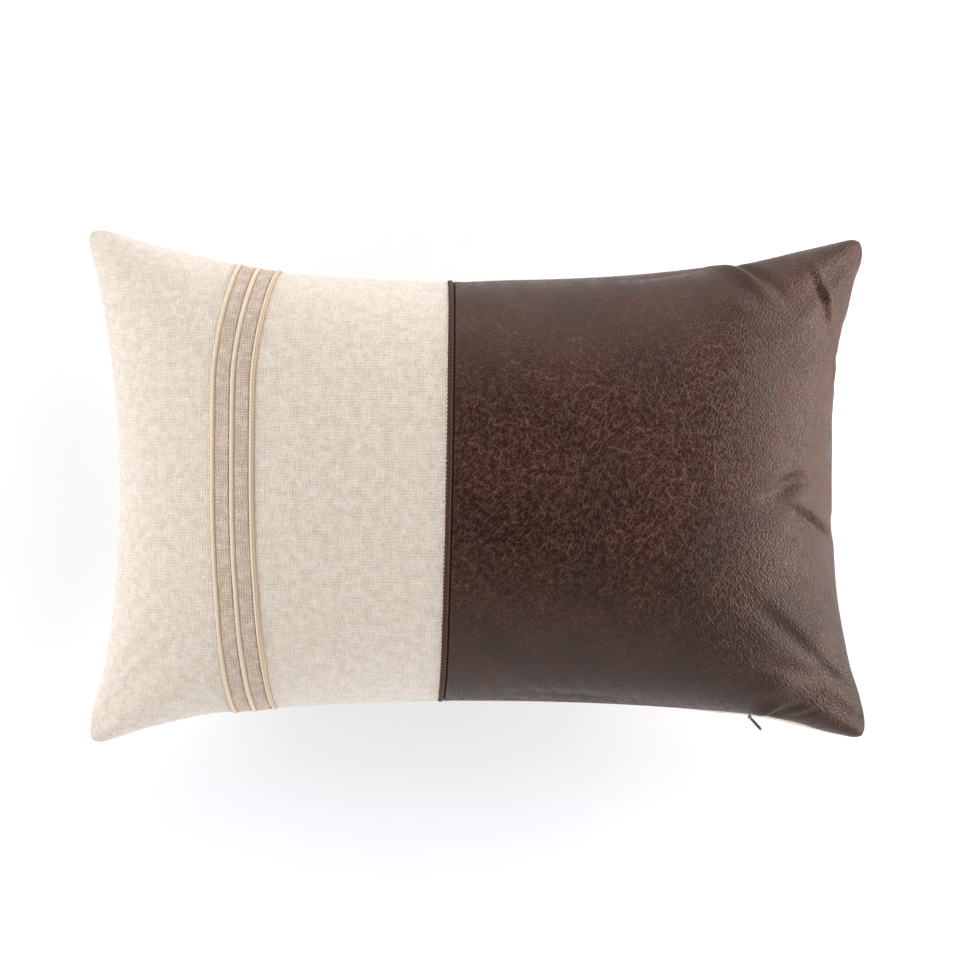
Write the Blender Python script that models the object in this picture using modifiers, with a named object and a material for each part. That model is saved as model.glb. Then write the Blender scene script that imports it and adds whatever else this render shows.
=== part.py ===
"""Rectangular throw pillow lying on its back, face up.

A woven fabric panel and a leather panel meet under a ribbed trim and make the face. An applied stripe of
bands and cords crosses the fabric. The back is one woven panel. The cover closes with a concealed zip in
the lower seam and holds a separate insert: two shell halves round a fibre fill.

Units are metres. +X runs along the long side, +Y up the face, +Z out of the face. The origin is on the
floor under the middle of the pillow.
"""

from math import asin, cos, radians, sin, sqrt

import bmesh
import bpy
from mathutils import Matrix, Vector

# The cover's flat cut, before it is filled.
CUT_WIDTH = 0.610
HALF_CUT = CUT_WIDTH / 2

# The filled outline: its four corners, and how far each side pulls in between them.
TOP_LEFT = Vector((-0.3015, 0.1990))
TOP_RIGHT = Vector((0.2995, 0.1925))
BOTTOM_LEFT = Vector((-0.2995, -0.1990))
BOTTOM_RIGHT = Vector((0.3015, -0.1965))
LEFT_PULL = 0.0255
RIGHT_PULL = 0.0265
TOP_PULL = 0.0370
TOP_PULL_POWER = 2.2
CORNER_ROUNDING = 0.0020
# A point this far out across the half cut is on the outline.
OUTLINE_SHARE = 0.999

# The lower seam is a true arc where the zip lies, and curves away faster beyond it.
ZIP_ARC_RADIUS = 2.150
ZIP_ARC_MIDDLE_Y = -0.1652
ZIP_ARC_HALF_WIDTH = 0.2200

# Heights above the floor.
SEAM_HEIGHT = 0.0780
CROWN = 0.0930
LENGTHWISE_FULLNESS = 0.80
CROSSWISE_FULLNESS = 0.35
# Cloth near a steep edge covers less plan area, so what lies between moves outward.
PLAN_SWELL = 0.0480

# Cloth thicknesses and the clearances between touching pieces.
PANEL_THICKNESS = 0.0012
SEAM_HALF_GAP = 0.0007
ZIP_HALF_GAP = 0.00125
ZIP_GAP_FULL_TO = 0.235
ZIP_GAP_NONE_FROM = 0.255
ZIP_GAP_SHARES = (0.5, 0.9)
LAY_GAP = 0.00045

# Face layout, as distances across the flat cut. The join leans and bows, and the stripe bends to the right
# towards both of its ends.
JOIN_AT = -0.0187
JOIN_LEAN = 0.0048
JOIN_BOW = -0.0053
JOIN_HALF_GAP = 0.0002
TRIM_WIDTH = 0.0039
TRIM_THICKNESS = 0.0010
STRIPE_AT = -0.1788
STRIPE_TOP_BEND = 0.0105
STRIPE_TOP_SHARES = (0.36, 0.95)
STRIPE_BOTTOM_BEND = 0.0050
CORD_SPACING = 0.0151
CORD_RADIUS = 0.0015
BAND_THICKNESS = 0.0008
BAND_MARGIN = 0.0020
STRIPE_END = 0.985
TRIM_END = 0.990

# Mesh density.
ROWS = 16
BACK_COLUMNS = 24
FABRIC_OUTER_COLUMNS = 4
FABRIC_INNER_COLUMNS = 5
LEATHER_COLUMNS = 12
INSERT_COLUMNS = 16
INSERT_ROWS = 12
ZIP_STEPS = 20
CORD_RESOLUTION = 2
THIN_RESOLUTION = 1
PIN_SEGMENTS = 16
EYE_STEPS = 24
TIP_STEPS = 20

# Insert.
INSERT_MARGIN = 0.0160
INSERT_CROWN_CLEARANCE = 0.0040
INSERT_THICKNESS = 0.0005
INSERT_HALF_GAP = 0.0004
INSERT_FLOOR = 0.0020
FILL_SCALE = 0.985
FILL_CROWN_CLEARANCE = 0.0060
FILL_FLOOR = 0.0035
MERGE_DISTANCE = 0.00001

# Zip: depths are measured inward from the seam's edge, offsets up or down from the seam plane.
THREAD_RADIUS = 0.0004
THREAD_DEPTH = 0.0008
COIL_RADIUS = 0.00075
COIL_DEPTH = 0.0050
COIL_OFFSET = 0.0009
COIL_HALF_LENGTH = 0.2175
TAPE_DEPTH = (0.00605, 0.0154)
TAPE_OFFSET = 0.0009
TAPE_THICKNESS = 0.0005
STOP_LENGTH = 0.0027
STOP_DEPTH = (0.0041, 0.0057)
STOP_OFFSET = (0.0002, 0.0019)
STOP_GAP = 0.0004
SLIDER_AT = 0.2120
SLIDER_LENGTH = 0.0090
SLIDER_DEPTH = (0.0033, 0.0088)
SLIDER_HALF_HEIGHT = 0.0029
SLIDER_WALL = 0.0007
NECK_LENGTH = 0.0024
NECK_HALF_HEIGHT = 0.0005
NECK_REACH = 0.0012
BRIDGE_REACH = 0.0040
BRIDGE_HALF_HEIGHT = 0.0014
BRIDGE_SLOT_HALF_HEIGHT = 0.0008
PIVOT_REACH = 0.0032
PIN_RADIUS = 0.0005
PIN_END_MARGIN = 0.000175
EYE_HOLE_RADIUS = 0.00085
EYE_RADIUS = 0.0017
TAB_LENGTH = 0.0140
TAB_WIDTH = 0.0024
TAB_THICKNESS = 0.0010
TAB_REST_ANGLE = radians(-48)

DIFFERENCE_STEP = 0.001


def clear_scene():
    for item in list(bpy.data.objects):
        bpy.data.objects.remove(item, do_unlink=True)


def new_collection(name):
    collection = bpy.data.collections.new(name)
    bpy.context.scene.collection.children.link(collection)
    return collection


def make_material(name, colour, roughness, metallic=0.0):
    material = bpy.data.materials.new(name)
    material.use_nodes = True
    shader = material.node_tree.nodes["Principled BSDF"]
    shader.inputs["Base Color"].default_value = (*colour, 1.0)
    shader.inputs["Roughness"].default_value = roughness
    shader.inputs["Metallic"].default_value = metallic
    return material


clear_scene()
PILLOW = new_collection("throw_pillow")
CUTTERS = new_collection("throw_pillow_cutters")

CREAM = (0.74, 0.66, 0.58)
TAUPE = (0.60, 0.48, 0.39)
GOLD = (0.66, 0.53, 0.39)
DARK_BROWN = (0.052, 0.026, 0.018)
TRIM_BROWN = (0.065, 0.032, 0.022)
PEWTER = (0.31, 0.25, 0.22)
WHITE = (0.82, 0.81, 0.79)


# ---------------------------------------------------------------- outline


def smooth_step(value, start, end):
    amount = min(max((value - start) / (end - start), 0.0), 1.0)
    return amount * amount * (3 - 2 * amount)


def arc_drop(x):
    return ZIP_ARC_RADIUS - sqrt(ZIP_ARC_RADIUS**2 - x * x)


def bottom_side(a):
    """Point on the lower seam: an arc in the middle, with a tail that reaches each corner."""
    corner = BOTTOM_RIGHT if a > 0 else BOTTOM_LEFT
    x = BOTTOM_LEFT.x + (BOTTOM_RIGHT.x - BOTTOM_LEFT.x) * (a + 1) / 2
    tail_span = abs(corner.x) - ZIP_ARC_HALF_WIDTH
    tail_drop = ZIP_ARC_MIDDLE_Y - arc_drop(corner.x) - corner.y
    beyond = max(abs(x) - ZIP_ARC_HALF_WIDTH, 0.0) / tail_span
    return Vector((x, ZIP_ARC_MIDDLE_Y - arc_drop(x) - tail_drop * beyond**2))


def top_side(a):
    point = TOP_LEFT.lerp(TOP_RIGHT, (a + 1) / 2)
    return point - Vector((0, TOP_PULL * (1 - abs(a) ** TOP_PULL_POWER)))


def left_side(b):
    return BOTTOM_LEFT.lerp(TOP_LEFT, (b + 1) / 2) + Vector((LEFT_PULL * (1 - b * b), 0))


def right_side(b):
    return BOTTOM_RIGHT.lerp(TOP_RIGHT, (b + 1) / 2) - Vector((RIGHT_PULL * (1 - b * b), 0))


def plan(a, b):
    """Plan position of the flat-cut point (a, b), each from -1 to 1 across the cut."""
    across, up = (a + 1) / 2, (b + 1) / 2
    sides = bottom_side(a) * (1 - up) + top_side(a) * up
    sides += left_side(b) * (1 - across) + right_side(b) * across
    low = BOTTOM_LEFT.lerp(BOTTOM_RIGHT, across)
    high = TOP_LEFT.lerp(TOP_RIGHT, across)
    point = sides - low.lerp(high, up)
    swell = PLAN_SWELL * (1 - a * a) * (1 - b * b)
    point += Vector((a * swell, b * swell))
    if min(abs(a), abs(b)) > OUTLINE_SHARE:
        point -= Vector((a, b)) * CORNER_ROUNDING
    return point


# ---------------------------------------------------------------- domes


def fullness(a, b):
    """Height of the dome above the seam, from 0 at the outline to 1 at the middle."""
    lengthwise = (1 - a * a) * (1 + LENGTHWISE_FULLNESS * a * a)
    crosswise = (1 - b * b) * (1 + CROSSWISE_FULLNESS * b * b)
    return lengthwise * crosswise


def bare_front(a, b):
    point = plan(a, b)
    return Vector((point.x, point.y, SEAM_HEIGHT + CROWN * fullness(a, b)))


def dome_normal(a, b):
    """Outward normal of the face, from differences that stay inside the outline."""
    step = DIFFERENCE_STEP
    a = min(max(a, step - 1), 1 - step)
    b = min(max(b, step - 1), 1 - step)
    along = bare_front(a + step, b) - bare_front(a - step, b)
    up = bare_front(a, b + step) - bare_front(a, b - step)
    return along.cross(up).normalized()


def seam_half_gap(a, b):
    """Half of the gap between front and back: wider where the zip's slider has to pass."""
    x = abs(plan(a, b).x)
    opened = 1 - smooth_step(x, ZIP_GAP_FULL_TO, ZIP_GAP_NONE_FROM)
    near_bottom = smooth_step(-b, *ZIP_GAP_SHARES)
    return SEAM_HALF_GAP + (ZIP_HALF_GAP - SEAM_HALF_GAP) * opened * near_bottom


def face_skin(a, b):
    """Outer surface of the face's panels."""
    lift = seam_half_gap(a, b) + PANEL_THICKNESS * dome_normal(a, b).z
    return bare_front(a, b) + Vector((0, 0, lift))


def above_face(a, b, height):
    return face_skin(a, b) + dome_normal(a, b) * height


def back_skin(a, b):
    """Outer surface of the back, flat where the pillow rests on the floor."""
    face = face_skin(a, b)
    return Vector((face.x, face.y, max(2 * SEAM_HEIGHT - face.z, 0.0)))


def insert_point(a, b, clearance, lift, scale):
    point = plan(a, b)
    half_width = (right_side(0).x - left_side(0).x) / 2
    half_height = (top_side(0).y - bottom_side(0).y) / 2
    x = point.x * (1 - INSERT_MARGIN / half_width) * scale
    y = point.y * (1 - INSERT_MARGIN / half_height) * scale
    return Vector((x, y, SEAM_HEIGHT + lift + (CROWN - clearance) * fullness(a, b)))


def insert_front_skin(a, b):
    lift = INSERT_HALF_GAP + INSERT_THICKNESS * dome_normal(a, b).z
    return insert_point(a, b, INSERT_CROWN_CLEARANCE, lift, 1.0)


def insert_back_skin(a, b):
    front = insert_front_skin(a, b)
    return Vector((front.x, front.y, max(2 * SEAM_HEIGHT - front.z, INSERT_FLOOR)))


def fill_top(a, b):
    return insert_point(a, b, FILL_CROWN_CLEARANCE, 0.0, FILL_SCALE)


def fill_bottom(a, b):
    top = fill_top(a, b)
    return Vector((top.x, top.y, max(2 * SEAM_HEIGHT - top.z, FILL_FLOOR)))


# ---------------------------------------------------------------- building


def spread(start, end, cells):
    return [start + (end - start) * i / cells for i in range(cells + 1)]


def add_object(name, mesh, material):
    item = bpy.data.objects.new(name, mesh)
    mesh.materials.clear()
    mesh.materials.append(material)
    PILLOW.objects.link(item)
    return item


def shaped_grid(columns, rows, surface, outward_up=True):
    """A grid whose column and row values are laid on a surface function."""
    grid = bmesh.new()
    across, up = len(columns) - 1, len(rows) - 1
    bmesh.ops.create_grid(grid, x_segments=across, y_segments=up, size=1.0)
    for corner in grid.verts:
        i = round((corner.co.x + 1) / 2 * across)
        j = round((corner.co.y + 1) / 2 * up)
        corner.co = surface(columns[i], rows[j])
    if not outward_up:
        bmesh.ops.reverse_faces(grid, faces=grid.faces)
    return grid


def add_shell(name, grid, thickness, material):
    """An open sheet given its thickness inward."""
    mesh = bpy.data.meshes.new(name)
    grid.to_mesh(mesh)
    grid.free()
    item = add_object(name, mesh, material)
    mesh.shade_smooth()
    solid = item.modifiers.new("thickness", "SOLIDIFY")
    solid.thickness = thickness
    solid.offset = -1.0
    solid.use_rim = True
    return item


def add_strip(name, centre, half_width, columns, thickness, end, material):
    """A narrow strip that lies on the face, on the same rows as the panels."""
    rows = spread(-1, 1, ROWS)
    rows[0], rows[-1] = -end, end

    def surface(a, b):
        return above_face(centre(b) + a * half_width, b, LAY_GAP + thickness)

    grid = shaped_grid(spread(-1, 1, columns), rows, surface)
    return add_shell(name, grid, thickness, material)


def add_tube(name, points, radius, resolution, material):
    """A capped round tube along a list of points."""
    curve = bpy.data.curves.new(name, "CURVE")
    curve.dimensions = "3D"
    curve.bevel_depth = radius
    curve.bevel_resolution = resolution
    curve.use_fill_caps = True
    line = curve.splines.new("POLY")
    line.points.add(len(points) - 1)
    for place, point in zip(line.points, points):
        place.co = (*point, 1.0)
    item = bpy.data.objects.new(name, curve)
    curve.materials.append(material)
    PILLOW.objects.link(item)
    return item


def add_block(name, size, centre, collection, material=None):
    """A box of a given size about a local centre, with its object at the origin."""
    block = bmesh.new()
    bmesh.ops.create_cube(block, size=1.0)
    bmesh.ops.scale(block, vec=size, verts=block.verts)
    bmesh.ops.translate(block, vec=centre, verts=block.verts)
    mesh = bpy.data.meshes.new(name)
    block.to_mesh(mesh)
    block.free()
    item = bpy.data.objects.new(name, mesh)
    if material:
        mesh.materials.append(material)
    collection.objects.link(item)
    return item


def join_at(b):
    """Share across the half cut of the fabric-to-leather join."""
    return (JOIN_AT + JOIN_LEAN * b + JOIN_BOW * b * b) / HALF_CUT


def stripe_at(b, offset=0.0):
    """Share across the half cut of the stripe's middle, or of a line at an offset from it."""
    bend = STRIPE_TOP_BEND * smooth_step(b, *STRIPE_TOP_SHARES)
    bend += STRIPE_BOTTOM_BEND * smooth_step(-b, 0, 1)
    return (STRIPE_AT + bend + offset) / HALF_CUT


# ---------------------------------------------------------------- cover


def fabric_column(place, b):
    """Columns count whole lines: the side seam 0, the cords 1 to 3 and the join 4, with shares between."""
    lines = (
        -1,
        stripe_at(b, -CORD_SPACING),
        stripe_at(b),
        stripe_at(b, CORD_SPACING),
        join_at(b) - JOIN_HALF_GAP / HALF_CUT,
    )
    first = min(int(place), len(lines) - 2)
    return lines[first] + (lines[first + 1] - lines[first]) * (place - first)


def build_panels():
    rows = spread(-1, 1, ROWS)
    outer = spread(0, 1, FABRIC_OUTER_COLUMNS)
    inner = spread(3, 4, FABRIC_INNER_COLUMNS)

    def fabric_surface(place, b):
        return face_skin(fabric_column(place, b), b)

    def leather_surface(share, b):
        start = join_at(b) + JOIN_HALF_GAP / HALF_CUT
        return face_skin(start + (1 - start) * share, b)

    fabric = shaped_grid(outer + [2] + inner, rows, fabric_surface)
    fabric_material = make_material("cream_fabric", CREAM, 0.9)
    add_shell("front_fabric_panel", fabric, PANEL_THICKNESS, fabric_material)
    leather = shaped_grid(spread(0, 1, LEATHER_COLUMNS), rows, leather_surface)
    leather_material = make_material("brown_leather", DARK_BROWN, 0.45)
    add_shell("front_leather_panel", leather, PANEL_THICKNESS, leather_material)
    back = shaped_grid(spread(-1, 1, BACK_COLUMNS), rows, back_skin, outward_up=False)
    back_material = make_material("back_fabric", CREAM, 0.9)
    add_shell("back_panel", back, PANEL_THICKNESS, back_material)


def build_cords():
    rows = spread(-1, 1, ROWS)
    rows[0], rows[-1] = -STRIPE_END, STRIPE_END
    for side, offset in (("left", -CORD_SPACING), ("middle", 0.0), ("right", CORD_SPACING)):
        points = [above_face(stripe_at(b, offset), b, LAY_GAP + CORD_RADIUS) for b in rows]
        material = make_material(f"satin_cord_{side}", GOLD, 0.45)
        add_tube(f"stripe_cord_{side}", points, CORD_RADIUS, CORD_RESOLUTION, material)


def build_bands():
    half_width = (CORD_SPACING / 2 - BAND_MARGIN) / HALF_CUT
    for side, offset in (("left", -CORD_SPACING / 2), ("right", CORD_SPACING / 2)):

        def centre(b, offset=offset):
            return stripe_at(b, offset)

        material = make_material(f"taupe_band_{side}", TAUPE, 0.85)
        name = f"stripe_band_{side}"
        add_strip(name, centre, half_width, 1, BAND_THICKNESS, STRIPE_END, material)


def build_trim():
    half_width = TRIM_WIDTH / CUT_WIDTH
    material = make_material("ribbed_trim", TRIM_BROWN, 0.6)
    add_strip("centre_trim", join_at, half_width, 2, TRIM_THICKNESS, TRIM_END, material)


def outline_point(a, b):
    """A point of the seam's thread, just inside the outline, in the seam plane."""
    point = plan(a, b)
    inward = Vector([-share if abs(share) > OUTLINE_SHARE else 0 for share in (a, b)]).normalized()
    point += inward * THREAD_DEPTH
    return Vector((point.x, point.y, SEAM_HEIGHT))


def build_seam_thread():
    """The thread runs from one end of the zip, round three sides, to the other end."""
    bottom = [a for a in spread(-1, 1, BACK_COLUMNS) if abs(plan(a, -1).x) > ZIP_GAP_NONE_FROM]
    right_part = [(a, -1) for a in bottom if a > 0]
    left_part = [(a, -1) for a in bottom if a < 0]
    right = [(1, b) for b in spread(-1, 1, ROWS)[1:]]
    top = [(a, 1) for a in spread(1, -1, BACK_COLUMNS)[1:]]
    left = [(-1, b) for b in spread(1, -1, ROWS)[1:-1]]
    points = [outline_point(a, b) for a, b in right_part + right + top + left + left_part]
    material = make_material("seam_thread", CREAM, 0.8)
    add_tube("seam_thread", points, THREAD_RADIUS, THIN_RESOLUTION, material)


# ---------------------------------------------------------------- zip


ARC_CENTRE = Vector((0, ZIP_ARC_MIDDLE_Y - ZIP_ARC_RADIUS, SEAM_HEIGHT))


def zip_frame(distance):
    """Local frame on the seam: X along the zip, Y inward, Z up, at a distance along its arc."""
    turn = Matrix.Rotation(-distance / ZIP_ARC_RADIUS, 4, "Z")
    out = Matrix.Translation((0, ZIP_ARC_RADIUS, 0))
    return Matrix.Translation(ARC_CENTRE) @ turn @ out


def build_tapes_and_coils():
    half = COIL_HALF_LENGTH
    distances = spread(-half, half, ZIP_STEPS)
    for side, sign in (("front", 1), ("back", -1)):
        points = [
            zip_frame(distance) @ Vector((0, COIL_DEPTH, sign * COIL_OFFSET))
            for distance in distances
        ]
        coil_material = make_material(f"zip_coil_{side}", CREAM, 0.4)
        add_tube(f"zipper_coil_{side}", points, COIL_RADIUS, THIN_RESOLUTION, coil_material)

        def tape_surface(distance, depth, sign=sign):
            return zip_frame(distance) @ Vector((0, depth, sign * TAPE_OFFSET))

        tape = shaped_grid(distances, list(TAPE_DEPTH), tape_surface, outward_up=sign > 0)
        tape_material = make_material(f"zip_tape_{side}", CREAM, 0.85)
        add_shell(f"zipper_tape_{side}", tape, TAPE_THICKNESS, tape_material)


def add_stop(name, low, high, distance, material):
    size = Vector((STOP_LENGTH, STOP_DEPTH[1] - STOP_DEPTH[0], high - low))
    centre = Vector((0, sum(STOP_DEPTH) / 2, (low + high) / 2))
    stop = add_block(name, size, centre, PILLOW, material)
    stop.matrix_world = zip_frame(distance)


def build_stops():
    distance = COIL_HALF_LENGTH + STOP_GAP + STOP_LENGTH / 2
    low, high = STOP_OFFSET
    for side, bottom, top in (("front", low, high), ("back", -high, -low)):
        material = make_material(f"zip_top_stop_{side}", PEWTER, 0.35, 1.0)
        add_stop(f"zipper_top_stop_{side}", bottom, top, distance, material)
    material = make_material("zip_bottom_stop", PEWTER, 0.35, 1.0)
    add_stop("zipper_bottom_stop", -high, high, -distance, material)


def add_pin(name, radius, half_height, centre):
    pin = bmesh.new()
    bmesh.ops.create_cone(
        pin,
        cap_ends=True,
        segments=PIN_SEGMENTS,
        radius1=radius,
        radius2=radius,
        depth=2 * half_height,
    )
    bmesh.ops.translate(pin, vec=centre, verts=pin.verts)
    mesh = bpy.data.meshes.new(name)
    pin.to_mesh(mesh)
    pin.free()
    item = bpy.data.objects.new(name, mesh)
    CUTTERS.objects.link(item)
    return item


def combine(item, other, operation):
    other.hide_render = True
    other.display_type = "WIRE"
    other.parent = item
    modifier = item.modifiers.new(other.name, "BOOLEAN")
    modifier.operation = operation
    modifier.object = other


def build_slider():
    """A channel round both coils, with a neck through the slit and a bridge that holds the tab."""
    pivot = bpy.data.objects.new("slider_travel_pivot", None)
    PILLOW.objects.link(pivot)
    pivot.location = ARC_CENTRE
    depth = SLIDER_DEPTH[1] - SLIDER_DEPTH[0]
    middle = sum(SLIDER_DEPTH) / 2
    size = Vector((SLIDER_LENGTH, depth, 2 * SLIDER_HALF_HEIGHT))
    material = make_material("zip_slider", PEWTER, 0.35, 1.0)
    body = add_block("slider_body", size, Vector((0, middle, 0)), PILLOW, material)
    body.parent = pivot
    body.matrix_parent_inverse = Matrix.Translation(-ARC_CENTRE)
    body.matrix_basis = zip_frame(SLIDER_AT)

    channel_depth = depth - SLIDER_WALL
    channel_size = Vector(
        (2 * SLIDER_LENGTH, 2 * channel_depth, 2 * (SLIDER_HALF_HEIGHT - SLIDER_WALL))
    )
    channel_centre = Vector((0, SLIDER_DEPTH[0] + SLIDER_WALL + channel_depth, 0))
    combine(body, add_block("channel_cutter", channel_size, channel_centre, CUTTERS), "DIFFERENCE")

    neck_inner = SLIDER_DEPTH[0] + SLIDER_WALL / 2
    neck_size = Vector((NECK_LENGTH, neck_inner + NECK_REACH, 2 * NECK_HALF_HEIGHT))
    neck_centre = Vector((0, (neck_inner - NECK_REACH) / 2, 0))
    combine(body, add_block("neck_guide", neck_size, neck_centre, CUTTERS), "UNION")

    bridge_inner = NECK_REACH - NECK_HALF_HEIGHT
    bridge_size = Vector((NECK_LENGTH, BRIDGE_REACH - bridge_inner, 2 * BRIDGE_HALF_HEIGHT))
    bridge_centre = Vector((0, -(BRIDGE_REACH + bridge_inner) / 2, 0))
    combine(body, add_block("bridge_guide", bridge_size, bridge_centre, CUTTERS), "UNION")

    slot_outer = BRIDGE_REACH + NECK_LENGTH
    slot_size = Vector((2 * NECK_LENGTH, slot_outer - NECK_REACH, 2 * BRIDGE_SLOT_HALF_HEIGHT))
    slot_centre = Vector((0, -(slot_outer + NECK_REACH) / 2, 0))
    combine(body, add_block("slot_cutter", slot_size, slot_centre, CUTTERS), "DIFFERENCE")

    pin_half_height = BRIDGE_HALF_HEIGHT - PIN_END_MARGIN
    pin = add_pin("pin_guide", PIN_RADIUS, pin_half_height, Vector((0, -PIVOT_REACH, 0)))
    combine(body, pin, "UNION")


def circle_points(radius, start, end, steps):
    return [(radius * cos(angle), radius * sin(angle)) for angle in spread(start, end, steps)]


def build_tab():
    """A flat tab with an eye round the slider's pin, pointing along its own +X."""
    outline = bpy.data.curves.new("pull_tab", "CURVE")
    outline.dimensions = "2D"
    outline.fill_mode = "BOTH"
    outline.extrude = TAB_THICKNESS / 2
    half_width = TAB_WIDTH / 2
    meet = asin(half_width / EYE_RADIUS)
    eye = circle_points(EYE_RADIUS, meet, radians(360) - meet, EYE_STEPS)
    tip_centre = TAB_LENGTH - EYE_RADIUS
    tip = [
        (tip_centre + x, y)
        for x, y in circle_points(EYE_RADIUS, meet - radians(180), radians(180) - meet, TIP_STEPS)
    ]
    hole_end = radians(360 - 360 / EYE_STEPS)
    hole = circle_points(EYE_HOLE_RADIUS, 0, hole_end, EYE_STEPS - 1)
    for points in (eye + tip, hole):
        loop = outline.splines.new("POLY")
        loop.points.add(len(points) - 1)
        for place, point in zip(loop.points, points):
            place.co = (*point, 0.0, 1.0)
        loop.use_cyclic_u = True
    outline.materials.append(make_material("zip_pull", PEWTER, 0.35, 1.0))
    tab = bpy.data.objects.new("pull_tab", outline)
    PILLOW.objects.link(tab)
    place = zip_frame(SLIDER_AT) @ Vector((0, -PIVOT_REACH, 0))
    tab.matrix_world = Matrix.Translation(place) @ Matrix.Rotation(TAB_REST_ANGLE, 4, "Z")


# ---------------------------------------------------------------- insert


def build_insert():
    columns, rows = spread(-1, 1, INSERT_COLUMNS), spread(-1, 1, INSERT_ROWS)
    for side, surface in (("front", insert_front_skin), ("back", insert_back_skin)):
        shell = shaped_grid(columns, rows, surface, outward_up=side == "front")
        material = make_material(f"insert_cloth_{side}", WHITE, 0.9)
        add_shell(f"insert_shell_{side}", shell, INSERT_THICKNESS, material)
    fill = shaped_grid(columns, rows, fill_top)
    bottom = shaped_grid(columns, rows, fill_bottom, outward_up=False)
    spare = bpy.data.meshes.new("fill_bottom")
    bottom.to_mesh(spare)
    bottom.free()
    fill.from_mesh(spare)
    bpy.data.meshes.remove(spare)
    bmesh.ops.remove_doubles(fill, verts=fill.verts, dist=MERGE_DISTANCE)
    mesh = bpy.data.meshes.new("insert_fill")
    fill.to_mesh(mesh)
    fill.free()
    add_object("insert_fill", mesh, make_material("fibre_fill", WHITE, 1.0))


build_panels()
build_cords()
build_bands()
build_trim()
build_seam_thread()
build_tapes_and_coils()
build_stops()
build_slider()
build_tab()
build_insert()
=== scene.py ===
"""Looks of a rectangular throw pillow lying on its back: filled cover, applied stripe, trim, zip and insert.

The cover is cut flat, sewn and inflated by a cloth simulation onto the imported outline. Every visible piece
is then laid on that simulated surface by its place on the flat cut. Units are metres. +X runs along the
long side, +Y up the face and +Z out of the face.
"""

from math import cos, pi, radians, sin, sqrt

import bmesh
import bpy
import numpy as np
from mathutils import Matrix, Vector


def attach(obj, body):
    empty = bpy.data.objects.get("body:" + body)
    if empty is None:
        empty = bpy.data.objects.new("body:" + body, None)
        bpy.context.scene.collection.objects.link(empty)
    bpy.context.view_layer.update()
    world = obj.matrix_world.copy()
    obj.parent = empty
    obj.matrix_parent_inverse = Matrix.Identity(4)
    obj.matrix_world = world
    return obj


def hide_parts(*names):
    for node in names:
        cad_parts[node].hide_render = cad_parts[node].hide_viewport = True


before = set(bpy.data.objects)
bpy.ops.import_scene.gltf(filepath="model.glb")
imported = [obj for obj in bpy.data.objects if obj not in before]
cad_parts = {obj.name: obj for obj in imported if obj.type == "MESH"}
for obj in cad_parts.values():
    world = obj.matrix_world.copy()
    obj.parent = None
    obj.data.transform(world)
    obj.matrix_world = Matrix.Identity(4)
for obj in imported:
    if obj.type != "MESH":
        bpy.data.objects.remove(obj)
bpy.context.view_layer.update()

# The cover's flat cut and its outline once filled.
CUT_WIDTH = 0.610
CUT_HEIGHT = 0.406
HALF_WIDTH = CUT_WIDTH / 2
HALF_HEIGHT = CUT_HEIGHT / 2
CUT_CORNER = 0.012
TOP_LEFT = np.array((-0.3015, 0.1990))
TOP_RIGHT = np.array((0.2995, 0.1925))
BOTTOM_LEFT = np.array((-0.2995, -0.1990))
BOTTOM_RIGHT = np.array((0.3015, -0.1965))
LEFT_PULL = 0.0255
RIGHT_PULL = 0.0265
TOP_PULL = 0.0370
TOP_PULL_POWER = 2.2
# Gathers along each side: share from -1 to 1, reach, and depth (below zero where the side is fuller).
TOP_NIPS = (
    (-0.930, 0.060, -0.0020),
    (-0.550, 0.090, 0.0031),
    (-0.420, 0.300, 0.0030),
    (-0.060, 0.090, 0.0017),
    (0.667, 0.030, 0.0028),
    (0.715, 0.075, 0.0022),
)
BOTTOM_NIPS = ((-0.900, 0.110, -0.0038), (0.885, 0.070, -0.0030))
LEFT_NIPS = ((-0.860, 0.085, -0.0030),)
RIGHT_NIPS = (
    (0.900, 0.050, -0.0023),
    (0.619, 0.035, 0.0022),
    (0.540, 0.110, 0.0032),
    (0.460, 0.035, 0.0030),
    (0.310, 0.120, 0.0016),
    (-0.149, 0.032, 0.0030),
    (-0.420, 0.150, 0.0010),
    (-0.820, 0.080, -0.0026),
    (-0.905, 0.050, -0.0018),
)
PLAN_SWELL = 0.0480
START_CROWN = 0.0930
FLAT_SWELL = 0.0040
FULL_TOWARD_SIDES = 0.8
FULL_TOWARD_LEVELS = 0.35
SEAM_HEIGHT = 0.0780

# The lower seam is an arc where the zip lies.
ZIP_ARC_RADIUS = 2.150
ZIP_ARC_MIDDLE_Y = -0.1652
ZIP_ARC_HALF_WIDTH = 0.2200

# Cloth simulation.
SIM_COLUMNS = 100
SIM_ROWS = 66
SIM_FRAMES = 36
SIM_FILL_FRAMES = 18
CLOTH = {
    "quality": 6,
    "mass": 0.05,
    "air_damping": 1.0,
    "tension_stiffness": 5,
    "compression_stiffness": 5,
    "shear_stiffness": 3,
    "bending_stiffness": 0.3,
    "tension_damping": 3,
    "compression_damping": 3,
    "shear_damping": 3,
    "bending_damping": 0.5,
    "use_pressure": True,
    "uniform_pressure_force": 60,
    "pin_stiffness": 1.0,
}
FLOOR_SOFTNESS = 0.0030

# Seams: each panel turns in round a small fold, with a gap that is wider where the zip's slider passes.
FOLD_RADIUS = 0.0008
SEAM_GAP = 0.0002
ZIP_GAP = 0.00075
ZIP_GAP_FULL_TO = 0.232
ZIP_GAP_NONE_FROM = 0.250
ZIP_GAP_HEIGHTS = (0.3 * CUT_HEIGHT, 0.47 * CUT_HEIGHT)
FLANGE_DEPTHS = (0.0010, 0.0022)
CLOTH_THICKNESS = 0.0007

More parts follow.
